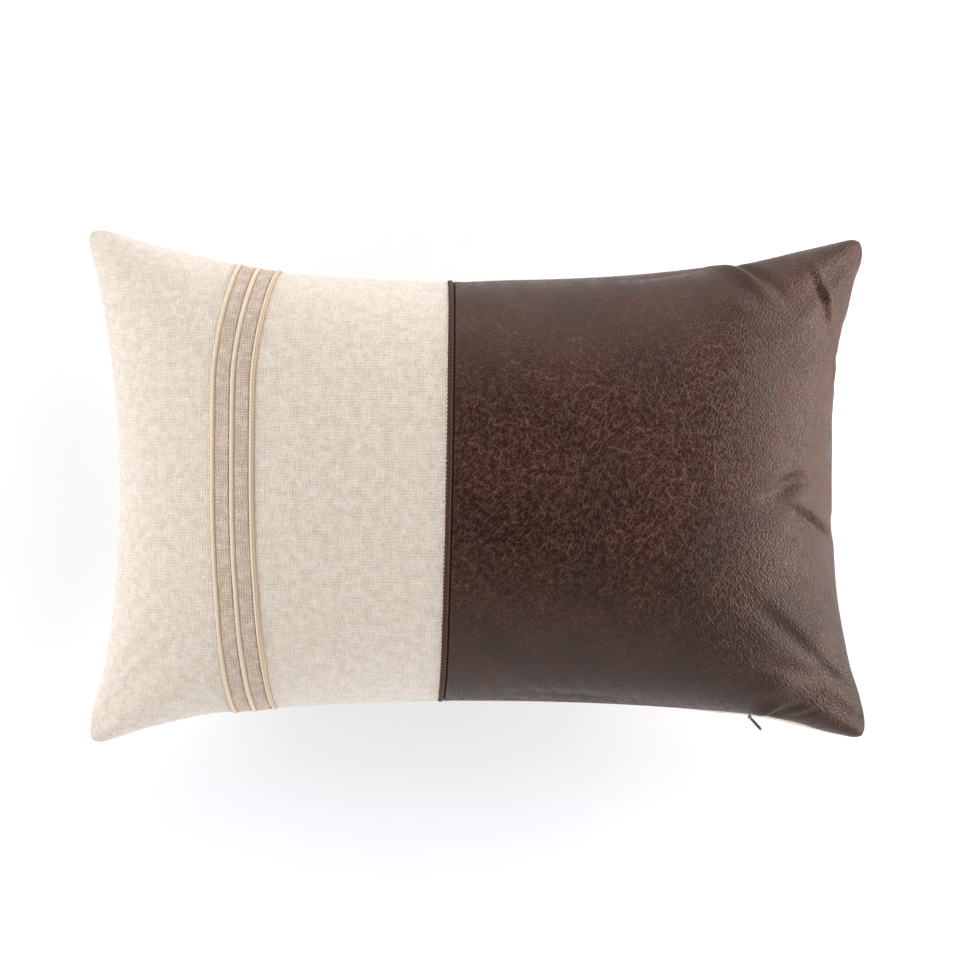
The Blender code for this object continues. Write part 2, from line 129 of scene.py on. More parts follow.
# Face layout on the flat cut.
JOIN_AT = -0.0187
JOIN_LEAN = 0.0048
JOIN_BOW = -0.0053
JOIN_HALF_GAP = 0.0002
STRIPE_AT = -0.1788
STRIPE_TOP_BOW = 0.0105
STRIPE_TOP_SHARES = (0.36, 0.95)
STRIPE_BOTTOM_BOW = 0.0050
CORD_SPACING = 0.0151


def smooth_step(value, start, end):
    amount = np.clip((value - start) / (end - start), 0.0, 1.0)
    return amount * amount * (3 - 2 * amount)


def hump(distance, spread):
    """One at no distance, fading smoothly both ways."""
    return np.exp(-((distance / spread) ** 2))


def dome(across, power):
    """Rounded profile of something that lies between -1 and 1 across."""
    return np.sqrt(np.clip(1 - np.abs(across) ** power, 0, 1))


def unit(vectors):
    return vectors / np.linalg.norm(vectors, axis=-1, keepdims=True)


# ---- outline


def arc_drop(x):
    return ZIP_ARC_RADIUS - np.sqrt(ZIP_ARC_RADIUS**2 - x * x)


def bottom_side(a):
    """The lower seam: an arc in the middle, with a tail that reaches each corner."""
    corner_x = np.where(a > 0, BOTTOM_RIGHT[0], -BOTTOM_LEFT[0])
    corner_y = np.where(a > 0, BOTTOM_RIGHT[1], BOTTOM_LEFT[1])
    x = BOTTOM_LEFT[0] + (BOTTOM_RIGHT[0] - BOTTOM_LEFT[0]) * (a + 1) / 2
    tail_drop = ZIP_ARC_MIDDLE_Y - arc_drop(corner_x) - corner_y
    beyond = np.maximum(np.abs(x) - ZIP_ARC_HALF_WIDTH, 0) / (corner_x - ZIP_ARC_HALF_WIDTH)
    y = ZIP_ARC_MIDDLE_Y - arc_drop(x) - tail_drop * beyond**2
    return np.stack([x, y + nips(a, BOTTOM_NIPS)], -1)


def nips(along, rows):
    """How far small gathers draw an outline in, at shares from -1 to 1 along its side."""
    drawn = np.zeros_like(along)
    for place, reach, depth in rows:
        drawn += depth * hump(along - place, reach)
    return drawn


def top_side(a):
    point = TOP_LEFT + (TOP_RIGHT - TOP_LEFT) * ((a + 1) / 2)[..., None]
    point[..., 1] -= TOP_PULL * (1 - np.abs(a) ** TOP_PULL_POWER) + nips(a, TOP_NIPS)
    return point


def left_side(b):
    point = BOTTOM_LEFT + (TOP_LEFT - BOTTOM_LEFT) * ((b + 1) / 2)[..., None]
    point[..., 0] += LEFT_PULL * (1 - b * b) + nips(b, LEFT_NIPS)
    return point


def right_side(b):
    point = BOTTOM_RIGHT + (TOP_RIGHT - BOTTOM_RIGHT) * ((b + 1) / 2)[..., None]
    point[..., 0] -= RIGHT_PULL * (1 - b * b) + nips(b, RIGHT_NIPS)
    return point


def plan(a, b):
    """Plan position of the flat-cut point (a, b), each from -1 to 1 across the cut."""
    across = ((a + 1) / 2)[..., None]
    up = ((b + 1) / 2)[..., None]
    point = bottom_side(a) * (1 - up) + top_side(a) * up
    point += left_side(b) * (1 - across) + right_side(b) * across
    point -= (BOTTOM_LEFT * (1 - across) + BOTTOM_RIGHT * across) * (1 - up)
    point -= (TOP_LEFT * (1 - across) + TOP_RIGHT * across) * up
    swell = PLAN_SWELL * (1 - a * a) * (1 - b * b)
    point[..., 0] += a * swell
    point[..., 1] += b * swell
    return point


def fullness(a, b):
    """How far the filling lifts the start shape: none at the seams and one in the middle."""
    across = (1 - a * a) * (1 + FULL_TOWARD_SIDES * a * a)
    return across * (1 - b * b) * (1 + FULL_TOWARD_LEVELS * b * b)


def rounded_cut(u, v):
    """Moves a rectangular grid's corner blocks onto rounded corners."""
    inner_u, inner_v = HALF_WIDTH - CUT_CORNER, HALF_HEIGHT - CUT_CORNER
    p = np.maximum(np.abs(u) - inner_u, 0)
    q = np.maximum(np.abs(v) - inner_v, 0)
    round_u = np.sign(u) * (inner_u + p * np.sqrt(1 - q * q / (2 * CUT_CORNER**2)))
    round_v = np.sign(v) * (inner_v + q * np.sqrt(1 - p * p / (2 * CUT_CORNER**2)))
    corner = (p > 0) & (q > 0)
    return np.where(corner, round_u, u), np.where(corner, round_v, v)


# ---- simulated cover


def grid_faces(columns, rows):
    ids = np.arange(columns * rows).reshape(columns, rows)
    corners = [ids[:-1, :-1], ids[1:, :-1], ids[1:, 1:], ids[:-1, 1:]]
    return np.stack(corners, -1).reshape(-1, 4)


def add_cloth(item, pins):
    modifier = item.modifiers.new("filling", "CLOTH")
    cloth = modifier.settings
    for name, value in CLOTH.items():
        setattr(cloth, name, value)
    cloth.vertex_group_mass = pins
    cloth.effector_weights.gravity = 0
    modifier.collision_settings.use_collision = False
    modifier.collision_settings.use_self_collision = False
    modifier.point_cache.frame_start = 1
    modifier.point_cache.frame_end = SIM_FRAMES


def simulated(flat, filled, faces, pinned):
    """Inflates the flat cut while its sewn edge moves to the filled outline; gives the settled points."""
    mesh = bpy.data.meshes.new("cover_cut")
    mesh.from_pydata(flat.tolist(), [], faces.tolist())
    item = bpy.data.objects.new("cover_cut", mesh)
    bpy.context.scene.collection.objects.link(item)
    item.shape_key_add(name="Basis")
    target = item.shape_key_add(name="filled")
    target.data.foreach_set("co", filled.astype(np.float32).ravel())
    target.value = 0
    target.keyframe_insert("value", frame=1)
    target.value = 1
    target.keyframe_insert("value", frame=SIM_FILL_FRAMES)
    group = item.vertex_groups.new(name="sewn_edge")
    group.add(pinned.tolist(), 1.0, "REPLACE")
    add_cloth(item, group.name)
    scene = bpy.context.scene
    scene.frame_start, scene.frame_end = 1, SIM_FRAMES
    for step in range(1, SIM_FRAMES + 1):
        scene.frame_set(step)
    settled = item.evaluated_get(bpy.context.evaluated_depsgraph_get()).data
    points = np.empty(len(settled.vertices) * 3, np.float32)
    settled.vertices.foreach_get("co", points)
    scene.frame_set(1)
    key_action = mesh.shape_keys.animation_data.action
    bpy.data.objects.remove(item)
    bpy.data.meshes.remove(mesh)
    bpy.data.actions.remove(key_action)
    return points.reshape(-1, 3).astype(float)


def two_sided(columns, rows):
    """A closed sheet of two grids that share their outline: faces, which places are inside, back's ids."""
    inside = np.zeros((columns, rows), bool)
    inside[1:-1, 1:-1] = True
    inside = inside.ravel()
    back_ids = np.arange(columns * rows)
    back_ids[inside] = columns * rows + np.arange(inside.sum())
    faces = grid_faces(columns, rows)
    return np.concatenate([faces, back_ids[faces][:, ::-1]]), inside, back_ids


def filled_cover():
    """Grids of points for the front and the back of the filled cover, sharing their outline."""
    u, v = np.meshgrid(
        np.linspace(-HALF_WIDTH, HALF_WIDTH, SIM_COLUMNS + 1),
        np.linspace(-HALF_HEIGHT, HALF_HEIGHT, SIM_ROWS + 1),
        indexing="ij",
    )
    u, v = rounded_cut(u, v)
    a, b = u / HALF_WIDTH, v / HALF_HEIGHT
    full = fullness(a, b)
    place = plan(a, b)
    faces, inside, back_ids = two_sided(*u.shape)

    def layers(x, y, rise):
        front = np.stack([x, y, SEAM_HEIGHT + rise], -1).reshape(-1, 3)
        back = np.stack([x, y, SEAM_HEIGHT - rise], -1).reshape(-1, 3)
        return np.concatenate([front, back[inside]])

    flat = layers(u, v, FLAT_SWELL * full)
    points = layers(place[..., 0], place[..., 1], START_CROWN * full)
    points = simulated(flat, points, faces, np.flatnonzero(~inside))
    shape = (*u.shape, 3)
    return points[: u.size].reshape(shape), points[back_ids].reshape(shape)


# ---- smooth look-up


def spline_weights(f):
    """Weights of a uniform cubic B-spline's four neighbours."""
    weights = [(1 - f) ** 3, 3 * f**3 - 6 * f**2 + 4, 3 * (f + f**2 - f**3) + 1, f**3]
    return np.stack(weights, -1) / 6


def look_up(values, x, y):
    """Smooth value at fractional cells x, y of a grid that has one spare row all round."""
    i = np.clip(np.floor(x).astype(int), 0, values.shape[0] - 4)
    j = np.clip(np.floor(y).astype(int), 0, values.shape[1] - 4)
    across, up = spline_weights(x - i), spline_weights(y - j)
    total = 0
    for s in range(4):
        for t in range(4):
            total = total + (across[..., s] * up[..., t])[..., None] * values[i + s, j + t]
    return total


def with_border(values):
    first, last = 2 * values[:1] - values[1:2], 2 * values[-1:] - values[-2:-1]
    values = np.concatenate([first, values, last])
    first, last = 2 * values[:, :1] - values[:, 1:2], 2 * values[:, -1:] - values[:, -2:-1]
    return np.concatenate([first, values, last], axis=1)


NORMAL_STEP = 0.0008
NORMAL_MARGIN = 0.0025


class Skin:
    """One side of the filled cover, looked up by place on the flat cut."""

    def __init__(self, points, side):
        self.values = with_border(points)
        self.side = side

    def at(self, u, v):
        x = (u / CUT_WIDTH + 0.5) * SIM_COLUMNS
        y = (v / CUT_HEIGHT + 0.5) * SIM_ROWS
        return look_up(self.values, x, y)

    def normal(self, u, v):
        """Outward normal, taken a little inside the outline."""
        u = np.clip(u, NORMAL_MARGIN - HALF_WIDTH, HALF_WIDTH - NORMAL_MARGIN)
        v = np.clip(v, NORMAL_MARGIN - HALF_HEIGHT, HALF_HEIGHT - NORMAL_MARGIN)
        along = self.at(u + NORMAL_STEP, v) - self.at(u - NORMAL_STEP, v)
        up = self.at(u, v + NORMAL_STEP) - self.at(u, v - NORMAL_STEP)
        return unit(np.cross(along, up) * self.side)


RIPPLE_COVER = 1.2
RIPPLE_STRENGTH = 1.6


class Ripple:
    """Smooth random waves over the cut, from -1 to 1, with a spacing each way."""

    def __init__(self, seed, spacing_u, spacing_v):
        self.spacing = spacing_u, spacing_v
        columns = int(RIPPLE_COVER * CUT_WIDTH / spacing_u) + 5
        rows = int(RIPPLE_COVER * CUT_HEIGHT / spacing_v) + 5
        rng = np.random.default_rng(seed)
        self.values = rng.uniform(-RIPPLE_STRENGTH, RIPPLE_STRENGTH, (columns, rows, 1))

    def at(self, u, v):
        x = (u + RIPPLE_COVER / 2 * CUT_WIDTH) / self.spacing[0]
        y = (v + RIPPLE_COVER / 2 * CUT_HEIGHT) / self.spacing[1]
        return look_up(self.values, x, y)[..., 0]


# ---- relief

BROAD = Ripple(3, 0.055, 0.050)
SMALL = Ripple(4, 0.020, 0.018)
FINE = Ripple(5, 0.008, 0.008)
PUCKER_TOP = Ripple(11, 0.0085, 0.300)
PUCKER_SIDE = Ripple(12, 0.300, 0.0085)
PUCKER_BACK = Ripple(13, 0.0090, 0.300)
PUCKER_BACK_SIDE = Ripple(14, 0.300, 0.0090)

PUCKER_HEIGHT = 0.00050
PUCKER_REACH = 0.0120
UNEVEN_CLEARANCE = 0.010
# Heights of the broad and of the small hollows.
FACE_UNEVEN = (0.0006, 0.00022)
BACK_UNEVEN = (0.0009, 0.0003)

# Folds in the leather: place, heading in degrees, half length, half width, depth, and height of the ridge
# that the fold throws up on its left.
FOLDS = (
    (0.2110, 0.1760, 127, 0.026, 0.0052, 0.0040, 0.0050),
    (0.2100, 0.1520, 140, 0.022, 0.0090, 0.0000, 0.0012),
    (0.2660, 0.1460, -68, 0.022, 0.0036, 0.0012, 0.0034),
    (0.2880, 0.0960, -80, 0.012, 0.0040, 0.0014, 0.0010),
    (0.2370, 0.0020, 204, 0.019, 0.0068, 0.0056, 0.0026),
    (0.2640, -0.0270, -24, 0.026, 0.0040, 0.0030, 0.0026),
    (0.2300, -0.1840, 52, 0.012, 0.0046, 0.0040, 0.0040),
    (0.2360, -0.1640, 8, 0.018, 0.0075, 0.0000, 0.0032),
    (0.2480, -0.1690, 22, 0.018, 0.0028, 0.0012, 0.0008),
    (0.2560, -0.1770, 28, 0.016, 0.0028, 0.0010, 0.0006),
    (0.2560, -0.1450, -16, 0.030, 0.0060, 0.0022, 0.0000),
    (0.1450, 0.1860, 8, 0.030, 0.0060, 0.0012, 0.0000),
    (0.0700, -0.1820, -6, 0.034, 0.0060, 0.0010, 0.0000),
)
RIDGE_AT = 1.7
RIDGE_SPREAD = 1.3
FOLD_CLEARANCE = 0.0045


def edge_distances(u, v):
    """Distances from the left or right edge and from the top or bottom edge, on the cut."""
    side = np.maximum(HALF_WIDTH - np.abs(u), 0)
    level = np.maximum(HALF_HEIGHT - np.abs(v), 0)
    return side, level


def away_from_seams(u, v, clearance):
    """Zero at the seams and one from a clearance on."""
    return smooth_step(np.minimum(*edge_distances(u, v)), 0.0, clearance)


def folds(u, v):
    """Valleys and ridges of the leather's folds, fading toward the seams."""
    total = np.zeros_like(u)
    for place_u, place_v, heading, half_length, half_width, depth, ridge in FOLDS:
        turn = radians(heading)
        along = (u - place_u) * cos(turn) + (v - place_v) * sin(turn)
        across = ((v - place_v) * cos(turn) - (u - place_u) * sin(turn)) / half_width
        profile = ridge * hump(across - RIDGE_AT, RIDGE_SPREAD) - depth * hump(across, 1)
        total += hump(along, half_length) * profile
    return total * away_from_seams(u, v, FOLD_CLEARANCE)


def risen(distance, reach):
    """Zero at an edge, one at a reach from it and fading beyond."""
    share = distance / reach
    return share * np.exp(1 - share)


def puckers(u, v, level_waves, side_waves):
    """Little gathers that run in from the sewn edges and fade."""
    side, level = edge_distances(u, v)
    from_level, from_side = risen(level, PUCKER_REACH), risen(side, PUCKER_REACH)
    return PUCKER_HEIGHT * (level_waves.at(u, v) * from_level + side_waves.at(u, v) * from_side)


def unevenness(u, v, broad, small):
    """Soft random hollows that fade toward the seams."""
    return away_from_seams(u, v, UNEVEN_CLEARANCE) * (broad * BROAD.at(u, v) + small * SMALL.at(u, v))


def face_relief(u, v):
    uneven = unevenness(u, v, *FACE_UNEVEN)
    return uneven + folds(u, v) + puckers(u, v, PUCKER_TOP, PUCKER_SIDE)


def back_relief(u, v):
    return unevenness(-u, v, *BACK_UNEVEN) + puckers(u, v, PUCKER_BACK, PUCKER_BACK_SIDE)


def seam_gap(u, v, x):
    """Half of the gap between front and back: wider where the zip's slider has to pass."""
    opened = 1 - smooth_step(np.abs(x), ZIP_GAP_FULL_TO, ZIP_GAP_NONE_FROM)
    return SEAM_GAP + (ZIP_GAP - SEAM_GAP) * opened * smooth_step(-v, *ZIP_GAP_HEIGHTS)


def skin_point(skin, u, v, rise):
    """A point at a rise over one side's outer skin, clear of the seam's gap and fold."""
    base = skin.at(u, v)
    point = base + skin.normal(u, v) * (FOLD_RADIUS + rise)[..., None]
    point[..., 2] += skin.side * (seam_gap(u, v, base[..., 0]) + FOLD_RADIUS)
    return point


def face_point(u, v, height=0.0):
    return skin_point(FRONT, u, v, face_relief(u, v) + height)


# The back's cloth rolls out past the lower seam and the right one, and shows as a thin line from above.
ROLL_REACH = 0.0090
ROLL_BELOW = 0.0034
ROLL_BESIDE = 0.0018


def back_roll(u, v):
    """How far the back bulges outward, beside the right edge and below the lower one."""
    side, level = edge_distances(u, v)
    left_part = smooth_step(u, -0.030, 0.000) * (1 - 0.55 * smooth_step(u, 0.060, 0.120))
    right_part = 0.5 * smooth_step(u, 0.130, 0.190)
    below = ROLL_BELOW * (left_part + right_part) * (v < 0) * risen(level, ROLL_REACH)
    beside = ROLL_BESIDE * (u > 0) * smooth_step(-v, -0.02, 0.06) * risen(side, ROLL_REACH)
    return beside, below


def back_point(u, v):
    point = skin_point(BACK, u, v, back_relief(u, v))
    beside, below = back_roll(u, v)
    point[..., 0] += beside
    point[..., 1] -= below
    point[..., 2] = FLOOR_SOFTNESS * np.logaddexp(0.0, point[..., 2] / FLOOR_SOFTNESS)
    return point


# ---- meshes

CELL_FINE = 0.0018
CELL_MIDDLE = 0.0020
CELL_BACK = 0.0027
CELL_INSERT = 0.006
CELL_FILL = 0.007
EDGE_ROWS = (0.0004, 0.0010)


def link_object(name, data, material=None):
    """A new object in the scene, with its material."""
    item = bpy.data.objects.new(name, data)
    bpy.context.scene.collection.objects.link(item)
    if material:
        data.materials.append(material)
    return item


def give(piece, replaced, body):
    """Puts a piece on its body, with the CAD nodes it stands for."""
    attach(piece, body)
    if replaced:
        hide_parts(*replaced)
    return piece


def make_piece(name, points, faces, material, cut=None, replaced=(), slot=None, body="cover"):
    mesh = bpy.data.meshes.new(name)
    mesh.from_pydata(points.tolist(), [], faces if isinstance(faces, list) else faces.tolist())
    mesh.shade_smooth()
    if cut is not None:
        layer = mesh.uv_layers.new(name="cut")
        corners = np.empty(len(mesh.loops), np.int32)
        mesh.loops.foreach_get("vertex_index", corners)
        layer.data.foreach_set("uv", np.asarray(cut)[corners].astype(np.float32).ravel())
    return give(link_object(name, mesh, material), replaced, body)


def pad(piece, thickness):
    solid = piece.modifiers.new("thickness", "SOLIDIFY")
    solid.thickness = thickness
    solid.offset = -1.0
    solid.use_rim = True


def seam_fold(edge, normal, side):
    """Rows of points that turn a panel's edge in under itself at the seam."""
    upright = np.array((0.0, 0.0, side))
    reach = np.hypot(normal[:, 0], normal[:, 1])[:, None]
    out = normal * (1, 1, 0) / reach
    start = np.arctan2(side * normal[:, 2:], reach)
    centre = edge - normal * FOLD_RADIUS
    rows = []
    for share in (0.25, 0.5, 0.75, 1.0):
        angle = start + (-pi / 2 - start) * share
        rows.append(centre + FOLD_RADIUS * (np.cos(angle) * out + np.sin(angle) * upright))
    for depth in FLANGE_DEPTHS:
        rows.append(centre - out * depth - upright * FOLD_RADIUS)
    return rows


def add_fold(points, faces, cut, chain, rows, closed):
    """Joins rows of points onto a chain of edge points, counter-clockwise seen from above."""
    points, faces, cut = [points], [faces], [cut]
    previous = chain
    total = len(points[0])
    for row in rows:
        current = total + np.arange(len(chain))
        total += len(chain)
        points.append(row)
        cut.append(cut[0][chain])
        if closed:
            ring = [previous, current, np.roll(current, -1), np.roll(previous, -1)]
        else:
            ring = [previous[:-1], current[:-1], current[1:], previous[1:]]
        faces.append(np.stack(ring, -1))
        previous = current
    return np.concatenate(points), np.concatenate(faces), np.concatenate(cut)


def spaced(start, end, cell, crowded=()):
    """Places from start to end: even cells, with extra ones at distances from each end."""
    count = max(2, round((end - start) / cell))
    places = list(np.linspace(start, end, count + 1))
    for extra in crowded:
        places += [start + extra, end - extra]
    return np.array(sorted(places))


def cut_grid(cell, crowded=()):
    """A grid of places over the whole flat cut."""
    u = spaced(-HALF_WIDTH, HALF_WIDTH, cell, crowded)
    v = spaced(-HALF_HEIGHT, HALF_HEIGHT, cell, crowded)
    return np.meshgrid(u, v, indexing="ij")


def pairs(u, v):
    return np.stack([u, v], -1).reshape(-1, 2)


def rim(shape):
    """Ids round the edge of a grid, counter-clockwise."""
    ids = np.arange(shape[0] * shape[1]).reshape(shape)
    return np.concatenate([ids[:, 0], ids[-1, 1:], ids[-2::-1, -1], ids[0, -2:0:-1]])


def join_at(v):
    b = v / HALF_HEIGHT
    return JOIN_AT + JOIN_LEAN * b + JOIN_BOW * b * b


def stripe_at(v):
    b = v / HALF_HEIGHT
    top = STRIPE_TOP_BOW * smooth_step(b, *STRIPE_TOP_SHARES)
    return STRIPE_AT + top + STRIPE_BOTTOM_BOW * smooth_step(-b, 0.0, 1.0)


# ---- panels

JOIN_ROUND = 0.0009
JOIN_EDGE_ROWS = (0.0003, 0.0007, 0.0011)
LEATHER_EDGE_ROWS = np.arange(0.0003, 0.0046, 0.0003)
LIP_RISE = 0.0003
LIP_AT = 0.0013
LIP_HALF_WIDTH = 0.0009
GROOVE_AT = 0.0022
GROOVE_DEPTH = 0.0012
GROOVE_HALF_WIDTH = 0.0005


def face_panel(cell, shares, bounds, height, from_top):
    """Points, faces and cut places of one panel of the face, turned in at every edge but the join.

    The turned-in edges run counter-clockwise, from the join's top end or from its bottom end.
    """
    share, v = np.meshgrid(shares, spaced(-HALF_HEIGHT, HALF_HEIGHT, cell, EDGE_ROWS), indexing="ij")
    left, right = bounds(v)
    u = left + (right - left) * share
    points = face_point(u, v, height(u, v)).reshape(-1, 3)
    cut = pairs(u, v)
    columns, rows = u.shape
    skipped = columns + rows - 2 if from_top else 0
    sewn = np.roll(rim(u.shape), -skipped)[: 2 - rows]
    fold = seam_fold(points[sewn], FRONT.normal(*cut[sewn].T), 1)
    return add_fold(points, grid_faces(*u.shape), cut, sewn, fold, closed=False)


def show_panel(name, parts, material, replaced, slot):
    points, faces, cut = parts
    pad(make_piece(name, points, faces, material, cut, [replaced], slot), CLOTH_THICKNESS)


def build_fabric():
    width = HALF_WIDTH + JOIN_AT
    shares = spaced(0, 1, CELL_MIDDLE / width, [row / width for row in JOIN_EDGE_ROWS])

    def bounds(v):
        return -HALF_WIDTH, join_at(v) - JOIN_HALF_GAP

    def height(u, v):
        """A rounded drop toward the join."""
        share = np.clip((join_at(v) - JOIN_HALF_GAP - u) / JOIN_ROUND, 0, 1)
        return -JOIN_ROUND * (1 - np.sqrt(1 - (1 - share) ** 2))

    parts = face_panel(CELL_MIDDLE, shares, bounds, height, from_top=True)
    show_panel("fabric_panel", parts, chenille("cream_fabric"), "front_fabric_panel", "cream_fabric")


def build_leather():
    width = HALF_WIDTH - JOIN_AT
    shares = spaced(0, 1, CELL_FINE / width, LEATHER_EDGE_ROWS / width)

    def bounds(v):
        return join_at(v) + JOIN_HALF_GAP, HALF_WIDTH

    def height(u, v):
        """A sewn groove beside the join, with a low lip along it."""
        distance = u - join_at(v) - GROOVE_AT
        groove = GROOVE_DEPTH * hump(distance, GROOVE_HALF_WIDTH)
        return LIP_RISE * hump(distance - LIP_AT, LIP_HALF_WIDTH) - groove

    parts = face_panel(CELL_FINE, shares, bounds, height, from_top=False)
    show_panel("leather_panel", parts, brown_leather(), "front_leather_panel", "brown_leather")


def build_back():
    u, v = cut_grid(CELL_BACK, EDGE_ROWS)
    points = back_point(u, v).reshape(-1, 3)
    cut = pairs(u, v)
    chain = rim(u.shape)
    fold = seam_fold(points[chain], BACK.normal(*cut[chain].T), -1)
    points, faces, cut = add_fold(points, grid_faces(*u.shape), cut, chain, fold, closed=True)
    parts = (points, faces[:, ::-1], cut)
    show_panel("back_cloth", parts, chenille("back_fabric"), "back_panel", "back_fabric")


# ---- stripe, trim and stitches

STRIP_FOOT = 0.0001
STRIPE_END = HALF_HEIGHT * 0.990
STRIPE_CELL = 0.0010
CORD_HALF_WIDTH = 0.0020
CORD_HEIGHT = 0.0016
CORD_FOOT = 0.0002
CORD_LEAN = 0.12
CORD_SWAY = 0.00012
CORD_SHADE_FROM = (0.0007, 0.0008, -0.0003)
BAND_HEIGHT = 0.0009
BAND_MARGIN = 0.0020
BAND_EDGE_SHARE = 0.55
BAND_FUZZ = 0.00012
STITCH_PITCH = 0.0028
STITCH_START = 0.003
STITCH_STAGGER = 0.0007
STITCH_STRAY = (0.0001, 0.0003)
STITCH_RISE = 0.00035
STITCH_SIZE = (0.00040, 0.00075, 0.00045)
TRIM_END = HALF_HEIGHT * 0.994
TRIM_CELL = 0.00045
TRIM_HALF_WIDTH = 0.00205
TRIM_HEIGHT = 0.0014
TRIM_PITCH = 0.0031
TRIM_OFFSET = -0.0004
TRIM_ROUND = 0.002
TUFT_REACH = 0.00042
RIB_WANDER = 0.35
RIB_SLANT = 0.10
RIB_SHARE = 0.12
TRIM_GROOVE = 0.00035
TRIM_GROOVE_AT = 0.42
TRIM_GROOVE_SPREAD = 0.10
TRIM_THREAD_AT = 0.62
TRIM_THREAD_PITCH = 0.0030
TRIM_THREAD_RISE = 0.0009
TRIM_THREAD_SIZE = (0.00030, 0.00155, 0.00030)
JOIN_STITCH_PITCH = 0.0062
JOIN_STITCH_STRAY = 0.0004
JOIN_STITCH_RISE = -0.0006
JOIN_STITCH_SIZE = (0.00042, 0.0023, 0.00040)
SEAM_STITCH_PITCH = 0.0034
SEAM_STITCH_INSET = 0.0003
SEAM_STITCH_SIZE = (0.00045, 0.0011, 0.00018)
ZIP_BELOW = -0.15
BAND_COLUMNS = 15
CORD_COLUMNS = 11
TRIM_COLUMNS = 13
TRIM_SQUARENESS = 2.6
BAND_SQUARENESS = 6


def closed_strip(name, u, v, heights, material, replaced, slot, across=None):
    """A solid strip: a grid of top points with heights over the face, closed by a flat underside."""
    top = face_point(u, v, heights).reshape(-1, 3)
    under = face_point(u, v, np.full_like(u, STRIP_FOOT)).reshape(-1, 3)
    faces = grid_faces(*u.shape)
    chain = rim(u.shape)
    after = np.roll(chain, -1)
    walls = np.stack([chain, chain + u.size, after + u.size, after], -1)
    faces = np.concatenate([faces, faces[:, ::-1] + u.size, walls])
    cut = np.tile(pairs(u if across is None else across, v), (2, 1))
    return make_piece(name, np.concatenate([top, under]), faces, material, cut, [replaced], slot)


def stripe_grid(place, half_width, across_count):
    v = np.linspace(-STRIPE_END, STRIPE_END, round(2 * STRIPE_END / STRIPE_CELL) + 1)
    across, v = np.meshgrid(np.linspace(-1, 1, across_count), v, indexing="ij")
    return across, stripe_at(v) + place + across * half_width, v


def build_bands():
    """Woven bands between the cords."""
    half_width = CORD_SPACING / 2 - BAND_MARGIN
    for side, place in (("left", -CORD_SPACING / 2), ("right", CORD_SPACING / 2)):
        across, u, v = stripe_grid(place, half_width, BAND_COLUMNS)
        crown = BAND_EDGE_SHARE + (1 - BAND_EDGE_SHARE) * dome(across, BAND_SQUARENESS)
        height = BAND_HEIGHT * crown + BAND_FUZZ * FINE.at(u, v)
        cloth = chenille("taupe_band", f"taupe_band_{side}")
        band = closed_strip(f"band_{side}", u, v, height, cloth, f"stripe_band_{side}", "taupe_band")


def build_cords():
    for index, side in enumerate(("left", "middle", "right")):
        sway = Ripple(40 + index, 0.3, 0.012)
        across, u, v = stripe_grid((index - 1) * CORD_SPACING, CORD_HALF_WIDTH, CORD_COLUMNS)
        u = u + CORD_SWAY * sway.at(u, v)
        height = CORD_FOOT + CORD_HEIGHT * (dome(across, 2) * (1 - CORD_LEAN * across))
        satin = satin_cord(side, CORD_SHADE_FROM[index])
        over = across * CORD_HALF_WIDTH
        closed_strip(f"satin_cord_{side}", u, v, height, satin, f"stripe_cord_{side}", "satin_cord", over)


def unpack(part):
    """Corners and faces of a bmesh, which is freed. Blender leaves a sphere's faces in any order."""
    part.verts.index_update()
    corners = np.array([corner.co[:] for corner in part.verts])
    faces = sorted([corner.index for corner in face.verts] for face in part.faces)
    part.free()
    return corners, faces


def beads(places, forward, side, up, size):
    """Small stitches: one stretched bead for each place, with its own axes."""
    ball = bmesh.new()
    bmesh.ops.create_uvsphere(ball, u_segments=8, v_segments=6, radius=1.0)
    corners, outlines = unpack(ball)
    points, faces = [], []
    for index in range(len(places)):
        axes = np.stack([side[index] * size[0], forward[index] * size[1], up[index] * size[2]])
        points.append(places[index] + corners @ axes)
        faces += [[corner + index * len(corners) for corner in outline] for outline in outlines]
    return np.concatenate(points), faces


def stitch_row(name, u, v, height, size, thread):
    """A row of thread beads lying on the face along the stripe or the join."""
    here = face_point(u, v, np.full_like(u, height))
    forward = unit(face_point(u, v + 0.001, np.full_like(u, height)) - here)
    up = FRONT.normal(u, v)
    points, faces = beads(here, forward, np.cross(forward, up), up, size)
    make_piece(name, points, faces, thread, slot="seam_thread")


def build_stripe_stitches():
    """Thread shows in the needle holes along the cords' feet, heavier and darker on some sides, where the
    darker beads are partly painted shade of the holes.
    """
    rng = np.random.default_rng(21)
    v = np.arange(-STRIPE_END + STITCH_START, STRIPE_END - STITCH_START, STITCH_PITCH)
    foot = CORD_HALF_WIDTH + CORD_FOOT
    (across, along), (width, length, depth) = STITCH_STRAY, STITCH_SIZE
    # The heavier taupe rows are partly real thread and partly painted shade in the needle holes.
    rows = (
        ("left_outer", -CORD_SPACING - foot, 0.6, "sand"),
        ("left_inner", -CORD_SPACING + foot, 0.9, "tan"),
        ("middle_outer", -foot, 1.3, "taupe"),
        ("middle_inner", foot, 0.9, "tan"),
        ("right_outer", CORD_SPACING - foot, 1.3, "taupe"),
        ("right_inner", CORD_SPACING + foot, 0.6, "sand"),
    )
    for index, (name, place, weight, tone) in enumerate(rows):
        places_v = v + rng.uniform(-along, along, len(v)) + index * STITCH_STAGGER
        places_u = stripe_at(places_v) + place + rng.uniform(-across, across, len(v))
        size = (width * sqrt(weight), length, depth)
        thread = stitch_thread(f"stitch_{name}", tone)
        stitch_row(f"stripe_stitches_{name}", places_u, places_v, STITCH_RISE, size, thread)


